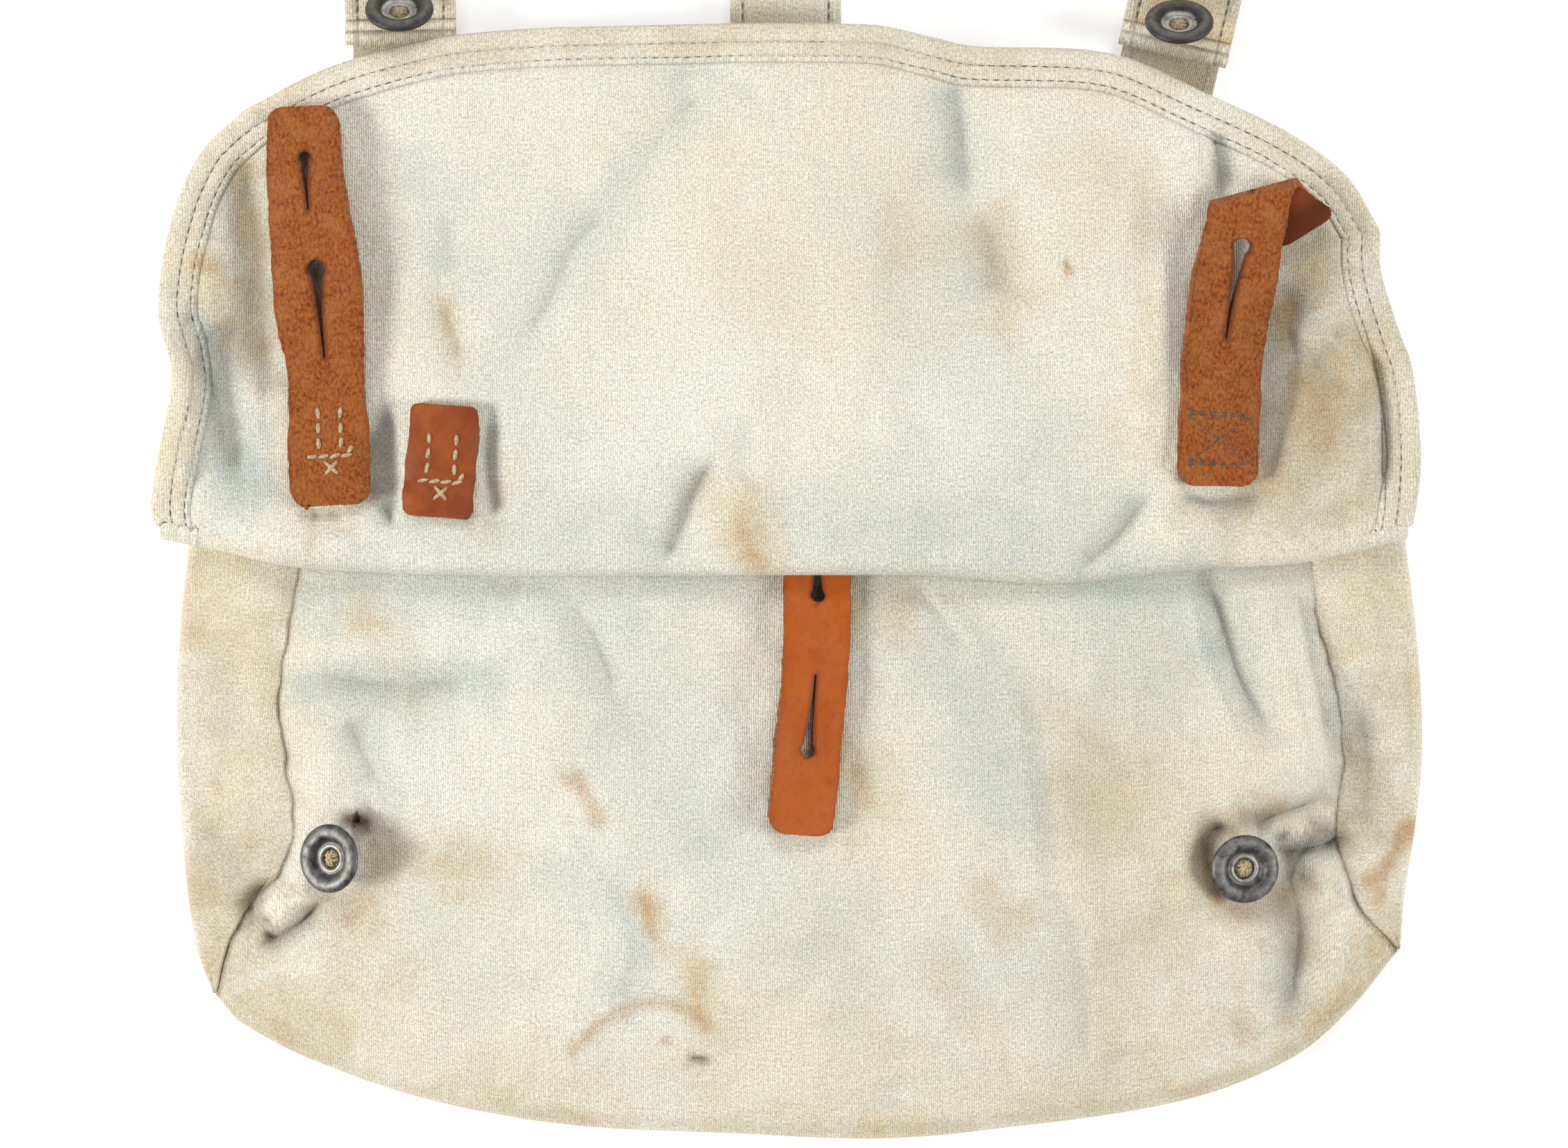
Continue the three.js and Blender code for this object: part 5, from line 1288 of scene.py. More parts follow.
def side_points(side, first):
    """A side of the upper layer that starts exactly at the fold."""
    side = side.copy()
    away = np.linalg.norm(side - side[0], axis=1)
    side += (first - side[0]) * (1 - smooth(away / 12))[:, None]
    return side


def flap_flat_y(points):
    """Cloth coordinate along the flap below its upper layer, which carries on from the fold's end."""
    along = arcs(points)
    return points[-1, :, 1] - (along[-1] - along)


def flap_tint(points):
    x, y = points[..., 0], points[..., 1]
    return cloth_tint(x, y, folds(FLAP_FOLDS, x, y))


def lower_tint(points, fold_steps):
    """Marks of the hidden part of the flap, which has none but a tan cast, and of the fold itself."""
    tint = np.zeros(points.shape[:2] + (4,))
    tint[-fold_steps:] = flap_tint(points[-fold_steps:])
    at_least(tint, 1, 0.15)
    return tint


# Leather


def strip_rows(length, corner, slots, spacing):
    """Distances of a strip's rows: its rounded ends, its buttonholes, and rows between them."""
    ends = [0, 0.08 * corner, 0.3 * corner, 0.6 * corner, corner]
    rows = ends + [length - d for d in ends]
    for slot in slots:
        r = slot["size"] * SLOT_EYE / 2
        rows.append(slot["far"] * length)
        rows += [slot["eye"] * length + k * r for k in (-1, -0.85, -0.6, -0.3, 0, 0.3, 0.6, 0.85, 1)]
    at = spacing(0)
    while at < length:
        step = spacing(at)
        if all(abs(row - at) > step / 2 for row in rows):
            rows.append(at)
        at += step
    return np.array(sorted(rows))


def slot_half(slots, length, at, gap):
    """Half the width of a buttonhole at a distance along a strip, or 0 outside every one."""
    for slot in slots:
        r = slot["size"] * SLOT_EYE / 2
        eye, far = slot["eye"] * length, slot["far"] * length
        if far - 1e-6 <= at <= eye + r + 1e-6:
            disc = math.sqrt(max(0, r * r - (at - eye) ** 2))
            slit = mix(gap / 2, 0.75 * r, max(0, (at - far) / (eye - far)) ** 2) if at <= eye else 0
            return max(disc, slit, gap / 2)
    return 0


def strip(name, size, slots, spacing, wide_at, place, materials, dark_from=1.0):
    """A strip of leather of a length, width and corner radius along place(along, aside), with its buttonholes.
    spacing(along) is the distance between rows, wide_at(share) a share of the width, and the darkening of its end,
    grease with painted shade inside the curl, begins at the share dark_from."""
    length, width, corner = size
    gap = bpy.context.scene.haversack_sizes.slit_width / MM
    rows = strip_rows(length, corner, slots, spacing)
    shares = np.array([1, 0.985, 0.93, 0.82, 0.66, 0.48, 0.3, 0.14, 0])
    points, flat, tint = [], [], []
    for at in rows:
        d = min(at, length - at)
        cut = 0 if d >= corner else corner - math.sqrt(max(0, corner**2 - (corner - d) ** 2))
        rough = 0.3 * noise.noise((at / 1.7, 3.3, length)) + 0.5 * noise.noise((at / 8, 1.3, length))
        half = wide_at(at / length) * width / 2 - cut
        slot = slot_half(slots, length, at, gap) or gap / 2
        aside = np.concatenate([-mix(slot, half + rough, shares), mix(slot, half - rough, shares[::-1])])
        points.append([place(at, a) for a in aside])
        flat.append([(a, at) for a in aside])
        open_here = slot_half(slots, length, at, gap) > 0
        near_slot = bell(np.abs(aside) - slot, 0.7) * (0.8 if open_here else 0)
        near_edge = 0.35 * np.exp(-((half - np.abs(aside)) / 0.6))
        # Darkening of the rolled end: grease, and painted shade inside the curl.
        grease_and_curl_shade = 0.9 * float(smooth((at / length - dark_from) / 0.1)) + 0 * aside
        tint.append([(0, 0, 0, d) for d in np.maximum(np.maximum(near_slot, near_edge), grease_and_curl_shade)])
    leather = Cloth()
    leather.grid(np.array(points), np.array(flat), np.array(tint))
    middle = (rows[:-1] + rows[1:]) / 2
    gone = []
    for face in leather.bm.faces:
        spot = sum((vert[leather.flat] for vert in face.verts), Vector()) / len(face.verts) / MM
        row = min(max(int(np.searchsorted(rows, spot.y)) - 1, 0), len(middle) - 1)
        if abs(spot.x) < 1e-3 and slot_half(slots, length, middle[row], gap) > 0:
            gone.append(face)
    bmesh.ops.delete(leather.bm, geom=gone, context="FACES")
    obj = leather.finish(name, LEATHER, materials, 1, 2)
    edge = obj.modifiers.new("edge", "BEVEL")
    edge.width = 0.45 * MM
    edge.segments = 2
    edge.limit_method = "ANGLE"
    edge.angle_limit = math.radians(50)
    return obj


def tab_route(route, surface, thicker=0.0):
    """How a tab lies on the cloth along its route: place(along, aside), ahead(share) and its width."""
    x, y, lift, lean = (column(route, "along", name) for name in ("x", "y", "lift", "lean"))

    def centre(s):
        return np.array([float(x(s)) * HALF_BODY, float(y(s)) * BODY_HEIGHT])

    def ahead(s):
        way = centre(s + 0.02) - centre(s - 0.02)
        return way / np.linalg.norm(way)

    def place(along, aside):
        s = along / TAB_LENGTH
        forward = ahead(min(0.98, max(0.02, s)))
        at = centre(s) + np.array([forward[1], -forward[0]]) * aside
        rest = CLOTH / 2 + thicker + 2 * CLEARANCE + LEATHER / 2
        side = -2 * aside * np.sign(forward[1]) / TAB_WIDTH
        z = float(surface(at[0], at[1])) + rest + LEATHER * (float(lift(s)) + float(lean(s)) * side)
        return np.array([at[0], at[1], z])

    return place, ahead, column(route, "along", "wide")


@functools.cache
def relief(surface):
    """A surface read from a grid of its heights, which is quick for many single points."""
    xs, ys = np.arange(-180, 180, GRID_STEP), np.arange(-8, 330, GRID_STEP)
    heights = surface(*np.meshgrid(xs, ys))

    def read(x, y):
        i = np.clip((np.asarray(x) - xs[0]) / GRID_STEP, 0, len(xs) - 1.001)
        j = np.clip((np.asarray(y) - ys[0]) / GRID_STEP, 0, len(ys) - 1.001)
        a, b = i.astype(int), j.astype(int)
        low = mix(heights[b, a], heights[b, a + 1], i - a)
        return mix(low, mix(heights[b + 1, a], heights[b + 1, a + 1], i - a), j - b)

    return read


def calm(surface):
    """A surface without its sharpest folds: the mean round each point, for leather that bridges them."""
    surface = relief(surface)

    def level(x, y):
        ring = [(3 * math.cos(a), 3 * math.sin(a)) for a in np.arange(6) * math.pi / 3]
        xs = np.array([x] + [x + dx for dx, _ in ring])
        ys = np.array([y] + [y + dy for _, dy in ring])
        heights = surface(xs, ys)
        return max(float(heights.mean()), float(heights[0]))

    return level


def plain_tab(node, route, slots, surface, materials, thicker=0.0):
    """A tab that lies along its route on a surface."""
    place, _, wide_at = tab_route(route, calm(surface), thicker)
    obj = strip(node + "_leather", TAB_SIZE, slots, lambda _: LEATHER_ROW, wide_at, place, materials)
    return rides(obj, node)


def rolled_tab(materials):
    """The right tab, whose end is rolled under about an axis turned from square across it."""
    place, ahead, wide_at = tab_route(TAB_RIGHT, calm(flap_over))
    start = CURL_START * TAB_LENGTH
    origin = place(start, 0)
    turn = math.radians(CURL_TURN)
    way = ahead(CURL_START)
    forward = np.array([*turned(way[0], way[1], turn), 0])
    axis = np.array([forward[1], -forward[0], 0])

    def rolled(along, aside):
        past = (along - start) * math.cos(turn) - aside * math.sin(turn)
        across = (along - start) * math.sin(turn) + aside * math.cos(turn)
        angle = min(max(0, past) / CURL_RADIUS, math.pi)
        beyond = 0.6 * (max(0, past) - CURL_RADIUS * angle)
        reach = past if past < 0 else CURL_RADIUS * math.sin(angle) - beyond
        bent = origin + axis * across + forward * reach
        bent[2] -= CURL_RADIUS * (1 - math.cos(angle))
        share = float(smooth(2 * past / TAB_WIDTH + 1))
        return mix(place(along, aside), bent, share)

    def spacing(at):
        return LEATHER_ROW if at < start - TAB_WIDTH / 2 else CURL_ROW

    obj = strip("tab_right_leather", TAB_SIZE, OUTER_SLOTS, spacing, wide_at, rolled, materials, 0.84)
    return rides(obj, "tab_right")


def patch_place(along, aside):
    """A point of the patch in the middle of its leather."""
    dx, dy = turned(aside, along - PATCH_LENGTH / 2, math.radians(PATCH_PLACE["turn"]))
    x, y = PATCH_PLACE["x"] * HALF_BODY + dx, PATCH_PLACE["y"] * BODY_HEIGHT + dy
    z = calm(flap_over)(x, y) + CLOTH / 2 + 2 * CLEARANCE + LEATHER / 2
    return np.array([x, y, z])


def leather_patch(materials):
    size = (PATCH_LENGTH, PATCH_WIDTH, PATCH_CORNER)
    obj = strip("patch_leather", size, (), lambda _: PATCH_ROW, lambda _: 1.0, patch_place, materials)
    return rides(obj, "patch")


# Buttons and thread


def spun(name, profile, sides, wear):
    """A closed ring of metal spun from a profile of (radius, height) in millimetres, dulled and rubbed as
    wear(radius, height) says."""
    bm = bmesh.new()
    layer = bm.verts.layers.float_color.new("marks")
    ring = [bm.verts.new((r * MM, 0, h * MM)) for r, h in profile]
    edges = [bm.edges.new((a, b)) for a, b in zip(ring, ring[1:] + ring[:1])]
    bmesh.ops.spin(
        bm, geom=ring + edges, cent=(0, 0, 0), axis=(0, 0, 1), angle=2 * math.pi, steps=sides, use_merge=True
    )
    bmesh.ops.remove_doubles(bm, verts=bm.verts, dist=0.01 * MM)
    bmesh.ops.recalc_face_normals(bm, faces=bm.faces)
    for vert in bm.verts:
        dark, bright = wear(math.hypot(vert.co.x, vert.co.y) / MM, vert.co.z / MM)
        vert[layer] = (dark, 0, 0, bright)
    return new_object(name, bm, [material_set()["dull pewter"]])


def button_pose(pose, x, y, level):
    """The matrix that turns a button's pieces towards their direction and stands them on the cloth."""
    z = level + BUTTON_DIAMETER / 2 * math.sin(math.radians(pose["tilt"])) + BUTTON_STAND
    place = Vector(in_frame((x, y, z)))
    turn = Matrix.Rotation(math.radians(pose["towards"]), 4, "Z")
    lean = Matrix.Rotation(math.radians(pose["tilt"]), 4, "Y")
    return Matrix.Translation(place) @ turn @ lean @ turn.inverted()


def button_profile():
    """Section of a dished button: rolled rim, dished face and a raised ring round the hole."""
    R = BUTTON_DIAMETER / 2
    hole = THREAD_DIAMETER / 2 + CLEARANCE
    top = BUTTON_DISH + BUTTON_WALL
    under = [(hole, 0), (0.6 * R, 0), (0.85 * R, 0.2 * top)]
    turns = [math.radians(a) for a in range(-40, 141, 15)]
    rim = [(R * (0.77 + 0.23 * math.cos(a)), top * (0.62 + 0.38 * math.sin(a))) for a in turns]
    dish = [(0.545 * R, 0.66 * top), (0.5 * R, 0.5 * top), (0.46 * R, 0.4 * top), (0.43 * R, 0.4 * top)]
    ring = [(0.4 * R, 0.48 * top), (0.37 * R, 0.5 * top), (0.33 * R, 0.47 * top), (hole, 0.34 * top)]
    return under + rim + dish + ring


def button_wear(middle):
    """Rubbed on the ring round the hole and a little on the rim; dark outside a bright middle, if it has one."""

    def wear(radius, height):
        share = 2 * radius / BUTTON_DIAMETER
        ring = bell(share - 0.38, 0.06) if height > 0 else 0
        disc = 1.0 if height > 0 and share < middle else 0
        dark = 0.8 if 0 < middle < share else 0
        return dark, max(ring, disc, 0.25 * bell(share - 0.8, 0.12))

    return wear


def tube(bm, path, radius, sides):
    """A closed tube along a path of points in metres, extruded ring by ring."""
    path = [Vector(p) for p in path]
    ways = [(path[min(k + 1, len(path) - 1)] - path[max(k - 1, 0)]).normalized() for k in range(len(path))]
    turn = ways[0].to_track_quat("Z", "Y")
    start = Matrix.Translation(path[0]) @ turn.to_matrix().to_4x4()
    made = bmesh.ops.create_circle(bm, cap_ends=True, segments=sides, radius=radius, matrix=start)
    ring = [e for e in {e for v in made["verts"] for e in v.link_edges} if len(e.link_faces) == 1]
    verts = made["verts"]
    for k in range(1, len(path)):
        grown = bmesh.ops.extrude_edge_only(bm, edges=ring)["geom"]
        verts = [g for g in grown if isinstance(g, bmesh.types.BMVert)]
        ring = [g for g in grown if isinstance(g, bmesh.types.BMEdge) and len(g.link_faces) == 1]
        step = ways[k - 1].rotation_difference(ways[k]).to_matrix()
        for vert in verts:
            vert.co = path[k] + step @ (vert.co - path[k - 1])
    bmesh.ops.holes_fill(bm, edges=ring, sides=sides)


def button_thread(name, pose):
    """Strands of thread crossed over a button's hole, and the shank under it."""
    bm = bmesh.new()
    hole = THREAD_DIAMETER / 2 + 0.1
    top = 1.2 * BUTTON_WALL
    for k, (turn, aside) in enumerate(((12, -0.7), (20, 0.2), (8, 1.0), (95, -0.4), (104, 0.6), (60, 0.1))):
        points = []
        for s in np.linspace(-1, 1, 9):
            x, y = turned(s * math.sqrt(max(0.2, hole**2 - aside**2)), aside, math.radians(turn))
            points.append(pose @ (Vector((x, y, top - 1.5 * s**4 + 0.1 * k)) * MM))
        tube(bm, points, 0.42 * MM, 7)
    shank = [pose @ Vector((0, 0, z * MM)) for z in (-BUTTON_STAND, -0.5, 0.3, 0.7 * top)]
    tube(bm, shank, 0.42 * THREAD_DIAMETER * MM, 12)
    return closed_object(name, bm, material_set()["pale thread"])


def sewn_button(place, x, y, level, names, middle=0.0):
    """A button and its thread, each in place of its solid."""
    pose = button_pose(place, x, y, level)
    button_name, thread_name = names
    button = spun(button_name + "_metal", button_profile(), 56, button_wear(middle))
    button.data.transform(pose)
    rides(button, button_name)
    thread = button_thread(thread_name + "_strands", pose)
    rides(thread, thread_name)


# Belt straps


def strap_route(top, end, end_height):
    """Heights along a belt strap: up from its sewn end, over a fold, and down to its free end."""
    low = STRAP_CLOTH / 2
    bend = top - LOOP_RADIUS - STRAP_CLOTH / 2
    route = [(y, low) for y in np.linspace(STRAP_ROOT, bend, STRAP_RISE, endpoint=False)]
    for k in range(STRAP_BEND + 1):
        turn = math.radians(mix(-90, 90, k / STRAP_BEND))
        route.append((bend + LOOP_RADIUS * math.cos(turn), low + LOOP_RADIUS * (1 + math.sin(turn))))
    for t in np.concatenate([np.linspace(0.03, 0.84, 30), np.linspace(0.86, 1, 24)]):
        route.append((mix(bend, end, t), mix(LOOP_END, end_height, float(smooth(t)))))
    return np.array(route)


def on_strap(place, aside, y):
    """A point on a leaning strap: aside of its middle line at a height along it."""
    dx, dy = turned(aside, y - STRAP_ROOT, math.radians(place["lean"]))
    return place["x"] * HALF_BODY + dx, STRAP_ROOT + dy


def strap_waves(place, x, y):
    return 0.35 * lumps(x, y, 14, 6.0 + place["x"])


def belt_strap(name, node, place, top, end, end_height):
    """A strap of doubled canvas with stitched edges and a turned free end."""
    route = strap_route(top, end, end_height)
    half = np.array([0, 0.13, 0.25, 0.34, 0.37, STRAP_SEAM, 0.42, 0.45, 0.485, 0.5])
    aside = STRAP_WIDTH * np.concatenate([-half[:0:-1], half])
    from_root = arcs(route)
    upper = smooth((route[:, 1] - STRAP_CLOTH) / STRAP_CLOTH)[:, None]
    from_end = from_root[-1] - from_root
    x, y = on_strap(place, aside[None, :] * (0.9 + 0.1 * upper), route[:, :1])
    past_seam = np.abs(aside) - STRAP_SEAM * STRAP_WIDTH
    groove = 0.28 * bell(past_seam, 0.6)
    border = 0.35 * smooth(past_seam / 1.2)
    edge = -0.5 * smooth((np.abs(aside) - 0.47 * STRAP_WIDTH) / 0.6)
    turn_in = 1.7 * smooth((5.6 - from_end) / 1.2) - 0.7 * bell(from_end - 3.2, 0.7)
    turn_in = (turn_in - 1.2 * smooth(1 - from_end / 0.9))[:, None]
    z = route[:, 1:] + upper * (border + edge - groove + strap_waves(place, x, y) + turn_in)
    points = stacked(x, y, z)
    tint = np.zeros(points.shape[:2] + (4,))
    worn = 0.05 if place is STRAP_CENTRE else mix(0.45, 0.75, upper)
    tint[..., 1] = worn + 0.25 * lumps(x, y, 18, 2.0)
    # Painted shade along the stitched grooves.
    tint[..., 3] = 0.3 * bell(past_seam, 0.7)
    # Painted shadow on the lower layer just below the free end, painted shadow lines above the turned end and in its
    # stitched groove, and a painted highlight on the turned end, which gets less tan.
    painted_shadow_under_end = (1 - upper) * smooth((route[:, :1] - end + 14) / 8) * (route[:, :1] < end + 6)
    lines = 0.7 * bell(from_end - 5.3, 0.5) + 0.55 * bell(from_end - 2.3, 0.35)
    at_least(tint, 3, np.maximum(0.1 * painted_shadow_under_end, lines[:, None]))
    tint[..., 1] *= 1 - 0.6 * smooth((5 - from_end) / 0.6)[:, None]
    cloth = Cloth()
    cloth.grid(points, stacked(aside[None, :], from_root[:, None]), tint)
    obj = cloth.finish(name, STRAP_CLOTH, [material_set()["strap canvas"]])
    return rides(obj, node)


# Stitches


class Stitches:
    """Stitches gathered in small lots, which are quicker to make than one big lot."""

    def __init__(self):
        self.whole = bmesh.new()
        self.lot = bmesh.new()

    def add(self, a, b, radius, turn=0.0):
        """One stitch between two points in millimetres."""
        a, b = Vector(in_frame(a)), Vector(in_frame(b))
        way = b - a
        rotation = way.to_track_quat("X", "Z").to_matrix().to_4x4() @ Matrix.Rotation(turn, 4, "Z")
        size = Matrix.Diagonal((way.length / 2, radius * MM, radius * MM, 1))
        matrix = Matrix.Translation((a + b) / 2) @ rotation @ size
        bmesh.ops.create_uvsphere(self.lot, u_segments=8, v_segments=5, radius=1, matrix=matrix)
        if len(self.lot.verts) > LOT:
            self.gather()

    def gather(self):
        mesh = bpy.data.meshes.new("lot")
        self.lot.to_mesh(mesh)
        self.whole.from_mesh(mesh)
        bpy.data.meshes.remove(mesh)
        self.lot.clear()

    def finish(self, name, material):
        self.gather()
        self.lot.free()
        return rides(closed_object(name, self.whole, material_set()[material]))


def stitch_run(stitches, path, length, gap, radius, wander, seed):
    """Stitches laid end to end along a path of points in millimetres."""
    path = np.asarray(path, float)
    along = arcs(path)
    at = gap
    while at + length < along[-1]:
        a, b = (np.array([np.interp(t, along, path[:, k]) for k in range(3)]) for t in (at, at + length))
        stitches.add(a, b, radius, wander * noise.noise((at, seed, 0.5)))
        at += length + gap


def hem_stitches():
    """Two rows of grey machine stitches round the flap's hem."""
    sizes = bpy.context.scene.haversack_sizes
    hem_lines, _, _, lines, along, *_ = flap_parts(sizes)
    edge, inwards = lines[:, 0], (lines[:, -1] - lines[:, 0]) / hem_lines[-1]
    stitches = Stitches()
    for k, row in enumerate(hem_rows(sizes)):
        row = row + 0.35 * noise_line(along, 20, 4.0 + k)
        x, y = (edge + inwards * row[:, None]).T
        level = flap_over(x, y) + hem_rise(row, sizes) + CLOTH / 2
        level = level + hem_wave(along, row) * smooth(row / 2)
        path = stacked(x, y, level + 0.02)[3:-3]
        stitch_run(stitches, path, sizes.stitch_length / MM, sizes.stitch_gap / MM, MACHINE_THREAD, 0.2, k)
    return stitches.finish("hem_stitches", "grey thread")


def strap_stitches():
    """Machine stitches along both edges of the straps' upper layers."""
    sizes = bpy.context.scene.haversack_sizes
    stitches = Stitches()
    for place, top, end, end_height in strap_places():
        route = strap_route(top, end, end_height)
        for side in (-1, 1):
            x, y = on_strap(place, side * STRAP_SEAM * STRAP_WIDTH, route[:, 0])
            level = route[:, 1] + STRAP_CLOTH / 2 + strap_waves(place, x, y) - 0.1
            path = stacked(x, y, level)[STRAP_RISE + STRAP_BEND :]
            stitch_run(stitches, path, sizes.stitch_length / MM, sizes.stitch_gap / MM, MACHINE_THREAD, 0.15, side)
    return stitches.finish("strap_stitches", "grey thread")


def strap_places():
    """The three straps: place, top, end and height of the end."""
    centre_end = BACK_HEIGHT + float(flap_under(0.0, BACK_HEIGHT)) / 2 + 3 * CLOTH
    return (
        (STRAP_LEFT, STRAP_TOP, FREE_END_HEIGHT - STRAP_LEFT["drop"] * STRAP_WIDTH, LOOP_END),
        (STRAP_CENTRE, CENTRE_STRAP_TOP, centre_end, STRAP_CLOTH * 1.5 + CLEARANCE),
        (STRAP_RIGHT, STRAP_TOP, FREE_END_HEIGHT - STRAP_RIGHT["drop"] * STRAP_WIDTH, LOOP_END),
    )


def hand_stitches():
    """Pale hand stitches on the left tab and the patch: two upright rows, a bar and a cross below."""
    stitches = Stitches()
    place, _, _ = tab_route(TAB_LEFT, calm(flap_over), bpy.context.scene.haversack_sizes.hem_step / MM)

    def on_tab(aside, up):
        return place(10 + up, aside) + np.array([0, 0, LEATHER / 2])

    def on_patch(aside, up):
        return patch_place(6.5 + up, aside) + np.array([0, 0, LEATHER / 2])

    for surface, rows, seed in ((on_tab, (-2.6, 3.3), 0.3), (on_patch, (-3.6, 3.6), 4.7)):
        for aside in rows:
            for k in range(3):
                up = 4.6 + 3.9 * k
                sway = 0.5 * noise.noise((aside, up, seed))
                stitches.add(surface(aside + sway, up), surface(aside - sway, up + 3.3), HAND_THREAD)
        for k in range(4):
            aside = -6 + 3 * k
            lift = 0.6 * noise.noise((aside, seed, 2.0))
            stitches.add(surface(aside, 2.6 + lift), surface(aside + 3.2, 3.2 - lift), HAND_THREAD)
        for side in (-1, 1):
            ends = surface(0.4 - HAND_CROSS * side, -2.2), surface(0.4 + HAND_CROSS * side, 1.8)
            stitches.add(*ends, HAND_THREAD)
        stitches.add(surface(5, 3.2), surface(6.2, 5.6), HAND_THREAD)
    return stitches.finish("hand_stitches", "pale thread")


def box_stitches():
    """The dark machine-stitched box and cross that hold the right tab."""
    sizes = bpy.context.scene.haversack_sizes
    stitches = Stitches()
    place, _, _ = tab_route(TAB_RIGHT, calm(flap_over))

    wide, low, high = 8.8, 5.2, 17.6
    a, b, c, d = (-wide, low), (wide, low), (wide, high), (-wide, high)
    doubled = ((-wide, high + 0.9), (wide, high + 0.7)), ((-wide, low + 0.9), (0, low + 0.5))
    for k, (start, end) in enumerate(((a, b), (d, c), (a, c), (d, b), *doubled)):
        steps = [mix(np.array(start), np.array(end), t) for t in np.linspace(0, 1, 12)]
        path = [place(up, aside) + np.array([0, 0, LEATHER / 2]) for aside, up in steps]
        stitch_run(stitches, path, sizes.stitch_length / MM, BOX_GAP, BOX_THREAD, 0.15, k)
    return stitches.finish("box_stitches", "grey thread")


# Stage


def build_floor():
    """A plain pale floor."""
    bm = bmesh.new()
    bmesh.ops.create_grid(bm, x_segments=1, y_segments=1, size=2.5)
    plain = {"Roughness": 0.9, "Specular IOR Level": 0.1, "Emission Color": (1, 1, 1, 1), "Emission Strength": 0.3}
    n, shader = new_material("pale floor", plain)
    patches = n.noise(n.add("TexCoord").outputs["Object"], 3.0, 3.0)
    n.put(shader["Base Color"], n.blend(patches, colour((250, 251, 253)), colour((254, 254, 255))))
    floor = closed_object("floor", bm, bpy.data.materials["pale floor"], False)


def area_light(name, place, size, power, tint):
    """A soft rectangular light that shines on the bag's middle."""
    light = bpy.data.lights.new(name, "AREA")
    light.shape = "RECTANGLE"
    light.size, light.size_y = size
    light.energy = power
    light.color = tint
    obj = bpy.data.objects.new(name, light)
    obj.location = place
    obj.rotation_euler = (Vector() - Vector(place)).to_track_quat("-Z", "Y").to_euler()
    bpy.context.scene.collection.objects.link(obj)


def build_lights():
    """Three soft lights from the left, the right and beyond the upper edge, and a pale surrounding."""
    look = bpy.context.scene.haversack_stage
    area_light("light_left", (-2.8, -0.7, 1.6), (0.9, 0.9), look.left_power, (1.0, 0.985, 0.965))
    area_light("light_right", (2.8, -0.4, 1.7), (1.2, 1.2), look.right_power, (0.98, 0.99, 1.0))
    area_light("light_top", (0.0, 2.2, 2.4), (2.0, 1.0), look.top_power, (1.0, 1.0, 1.0))
    world = bpy.data.worlds.new("studio")
    bpy.context.scene.world = world
    world.use_nodes = True
    background = world.node_tree.nodes["Background"]
    background.inputs["Color"].default_value = (0.96, 0.98, 1.0, 1.0)
    background.inputs["Strength"].default_value = look.surround


def build_camera():
    """Straight above, framed as the photograph."""
    look = bpy.context.scene.haversack_stage
    middle = from_photo([(PHOTO_SIZE[0] / 2, PHOTO_SIZE[1] / 2)])[0]
    width = PHOTO_SIZE[0] * PHOTO_PIXEL * MM
    camera = bpy.data.cameras.new("camera")
    camera.sensor_fit = "HORIZONTAL"
    height = look.camera_height
    camera.lens = camera.sensor_width * (height - look.framed_height) / width
    camera.clip_end = 20
    obj = bpy.data.objects.new("camera", camera)
    obj.location = Vector(in_frame((middle[0], middle[1], 0))) + Vector((0, 0, height))
    bpy.context.scene.collection.objects.link(obj)
    bpy.context.scene.camera = obj
    bpy.context.scene.view_settings.view_transform = "Standard"


# Add-on parts


def length(name, value, description):
    return bpy.props.FloatProperty(
        name=name, description=description, default=value * MM, min=0, unit="LENGTH", subtype="DISTANCE", precision=4
    )


def shade(name, value, description):
    return bpy.props.IntVectorProperty(name=name, description=description, default=value, size=3, min=0, max=255)


def strength(name, value, description, unit="POWER"):
    return bpy.props.FloatProperty(name=name, description=description, default=value, min=0, unit=unit)


class HaversackSizes(bpy.types.PropertyGroup):
    """Sizes of the cloth work."""

    hem_width: length("Hem width", 9.5, "Width of the flap's turned hem")
    hem_step: length("Hem step", 0.9, "How far the hem stands over the single cloth")
    stitch_length: length("Stitch length", 2.1, "Length of a machine stitch")
    stitch_gap: length("Stitch gap", 0.75, "Cloth between two machine stitches")
    weave_pitch: length("Weave pitch", 0.6, "Distance between two ribs of the canvas")
    slit_width: length("Slit width", 0.5, "Narrow end of a buttonhole in the leather")


class HaversackColours(bpy.types.PropertyGroup):
    """Colours of the cloth, leather, metal and thread, 0 to 255 as displayed."""

    canvas_pale: shade("Canvas", (248, 245, 229), "Clean canvas")
    canvas_warm: shade("Warm canvas", (244, 235, 211), "Canvas yellowed by age")
    # Blue-grey of the painted shade in hollows, folds and under the flap.
    cool_shade_canvas: shade("Cool canvas", (208, 216, 206), "Blue-grey of washed hollows")
    stain_tan: shade("Tan stain", (218, 192, 150), "Broad tan stains")
    stain_rust: shade("Rust stain", (194, 142, 78), "Rust and leather marks")
    # Soil, and the painted shade in folds, creases, hollows, pits and seams.
    soil_and_shade: shade("Soil", (102, 75, 47), "Soil in folds and seams")
    leather_rough: shade("Rough leather", (200, 108, 42), "Flesh side of the tabs")
    leather_pale: shade("Pale nap", (206, 134, 68), "Raised nap")
    # Also the painted shade inside the right tab's curl.
    leather_dark: shade("Dark leather", (96, 40, 8), "Edges, pores and old grease")
    leather_grain: shade("Grain leather", (176, 83, 18), "Grain side of the middle tab")
    leather_red: shade("Red leather", (134, 61, 24), "The patch")
    metal: shade("Pewter", (120, 119, 117), "Button metal")
    metal_dark: shade("Dark pewter", (58, 54, 53), "Dulled metal")
    metal_bright: shade("Bright pewter", (206, 202, 192), "Rubbed metal")
    thread_grey: shade("Grey thread", (98, 101, 103), "Machine thread")
    thread_pale: shade("Pale thread", (222, 200, 158), "Hand-sewn thread")


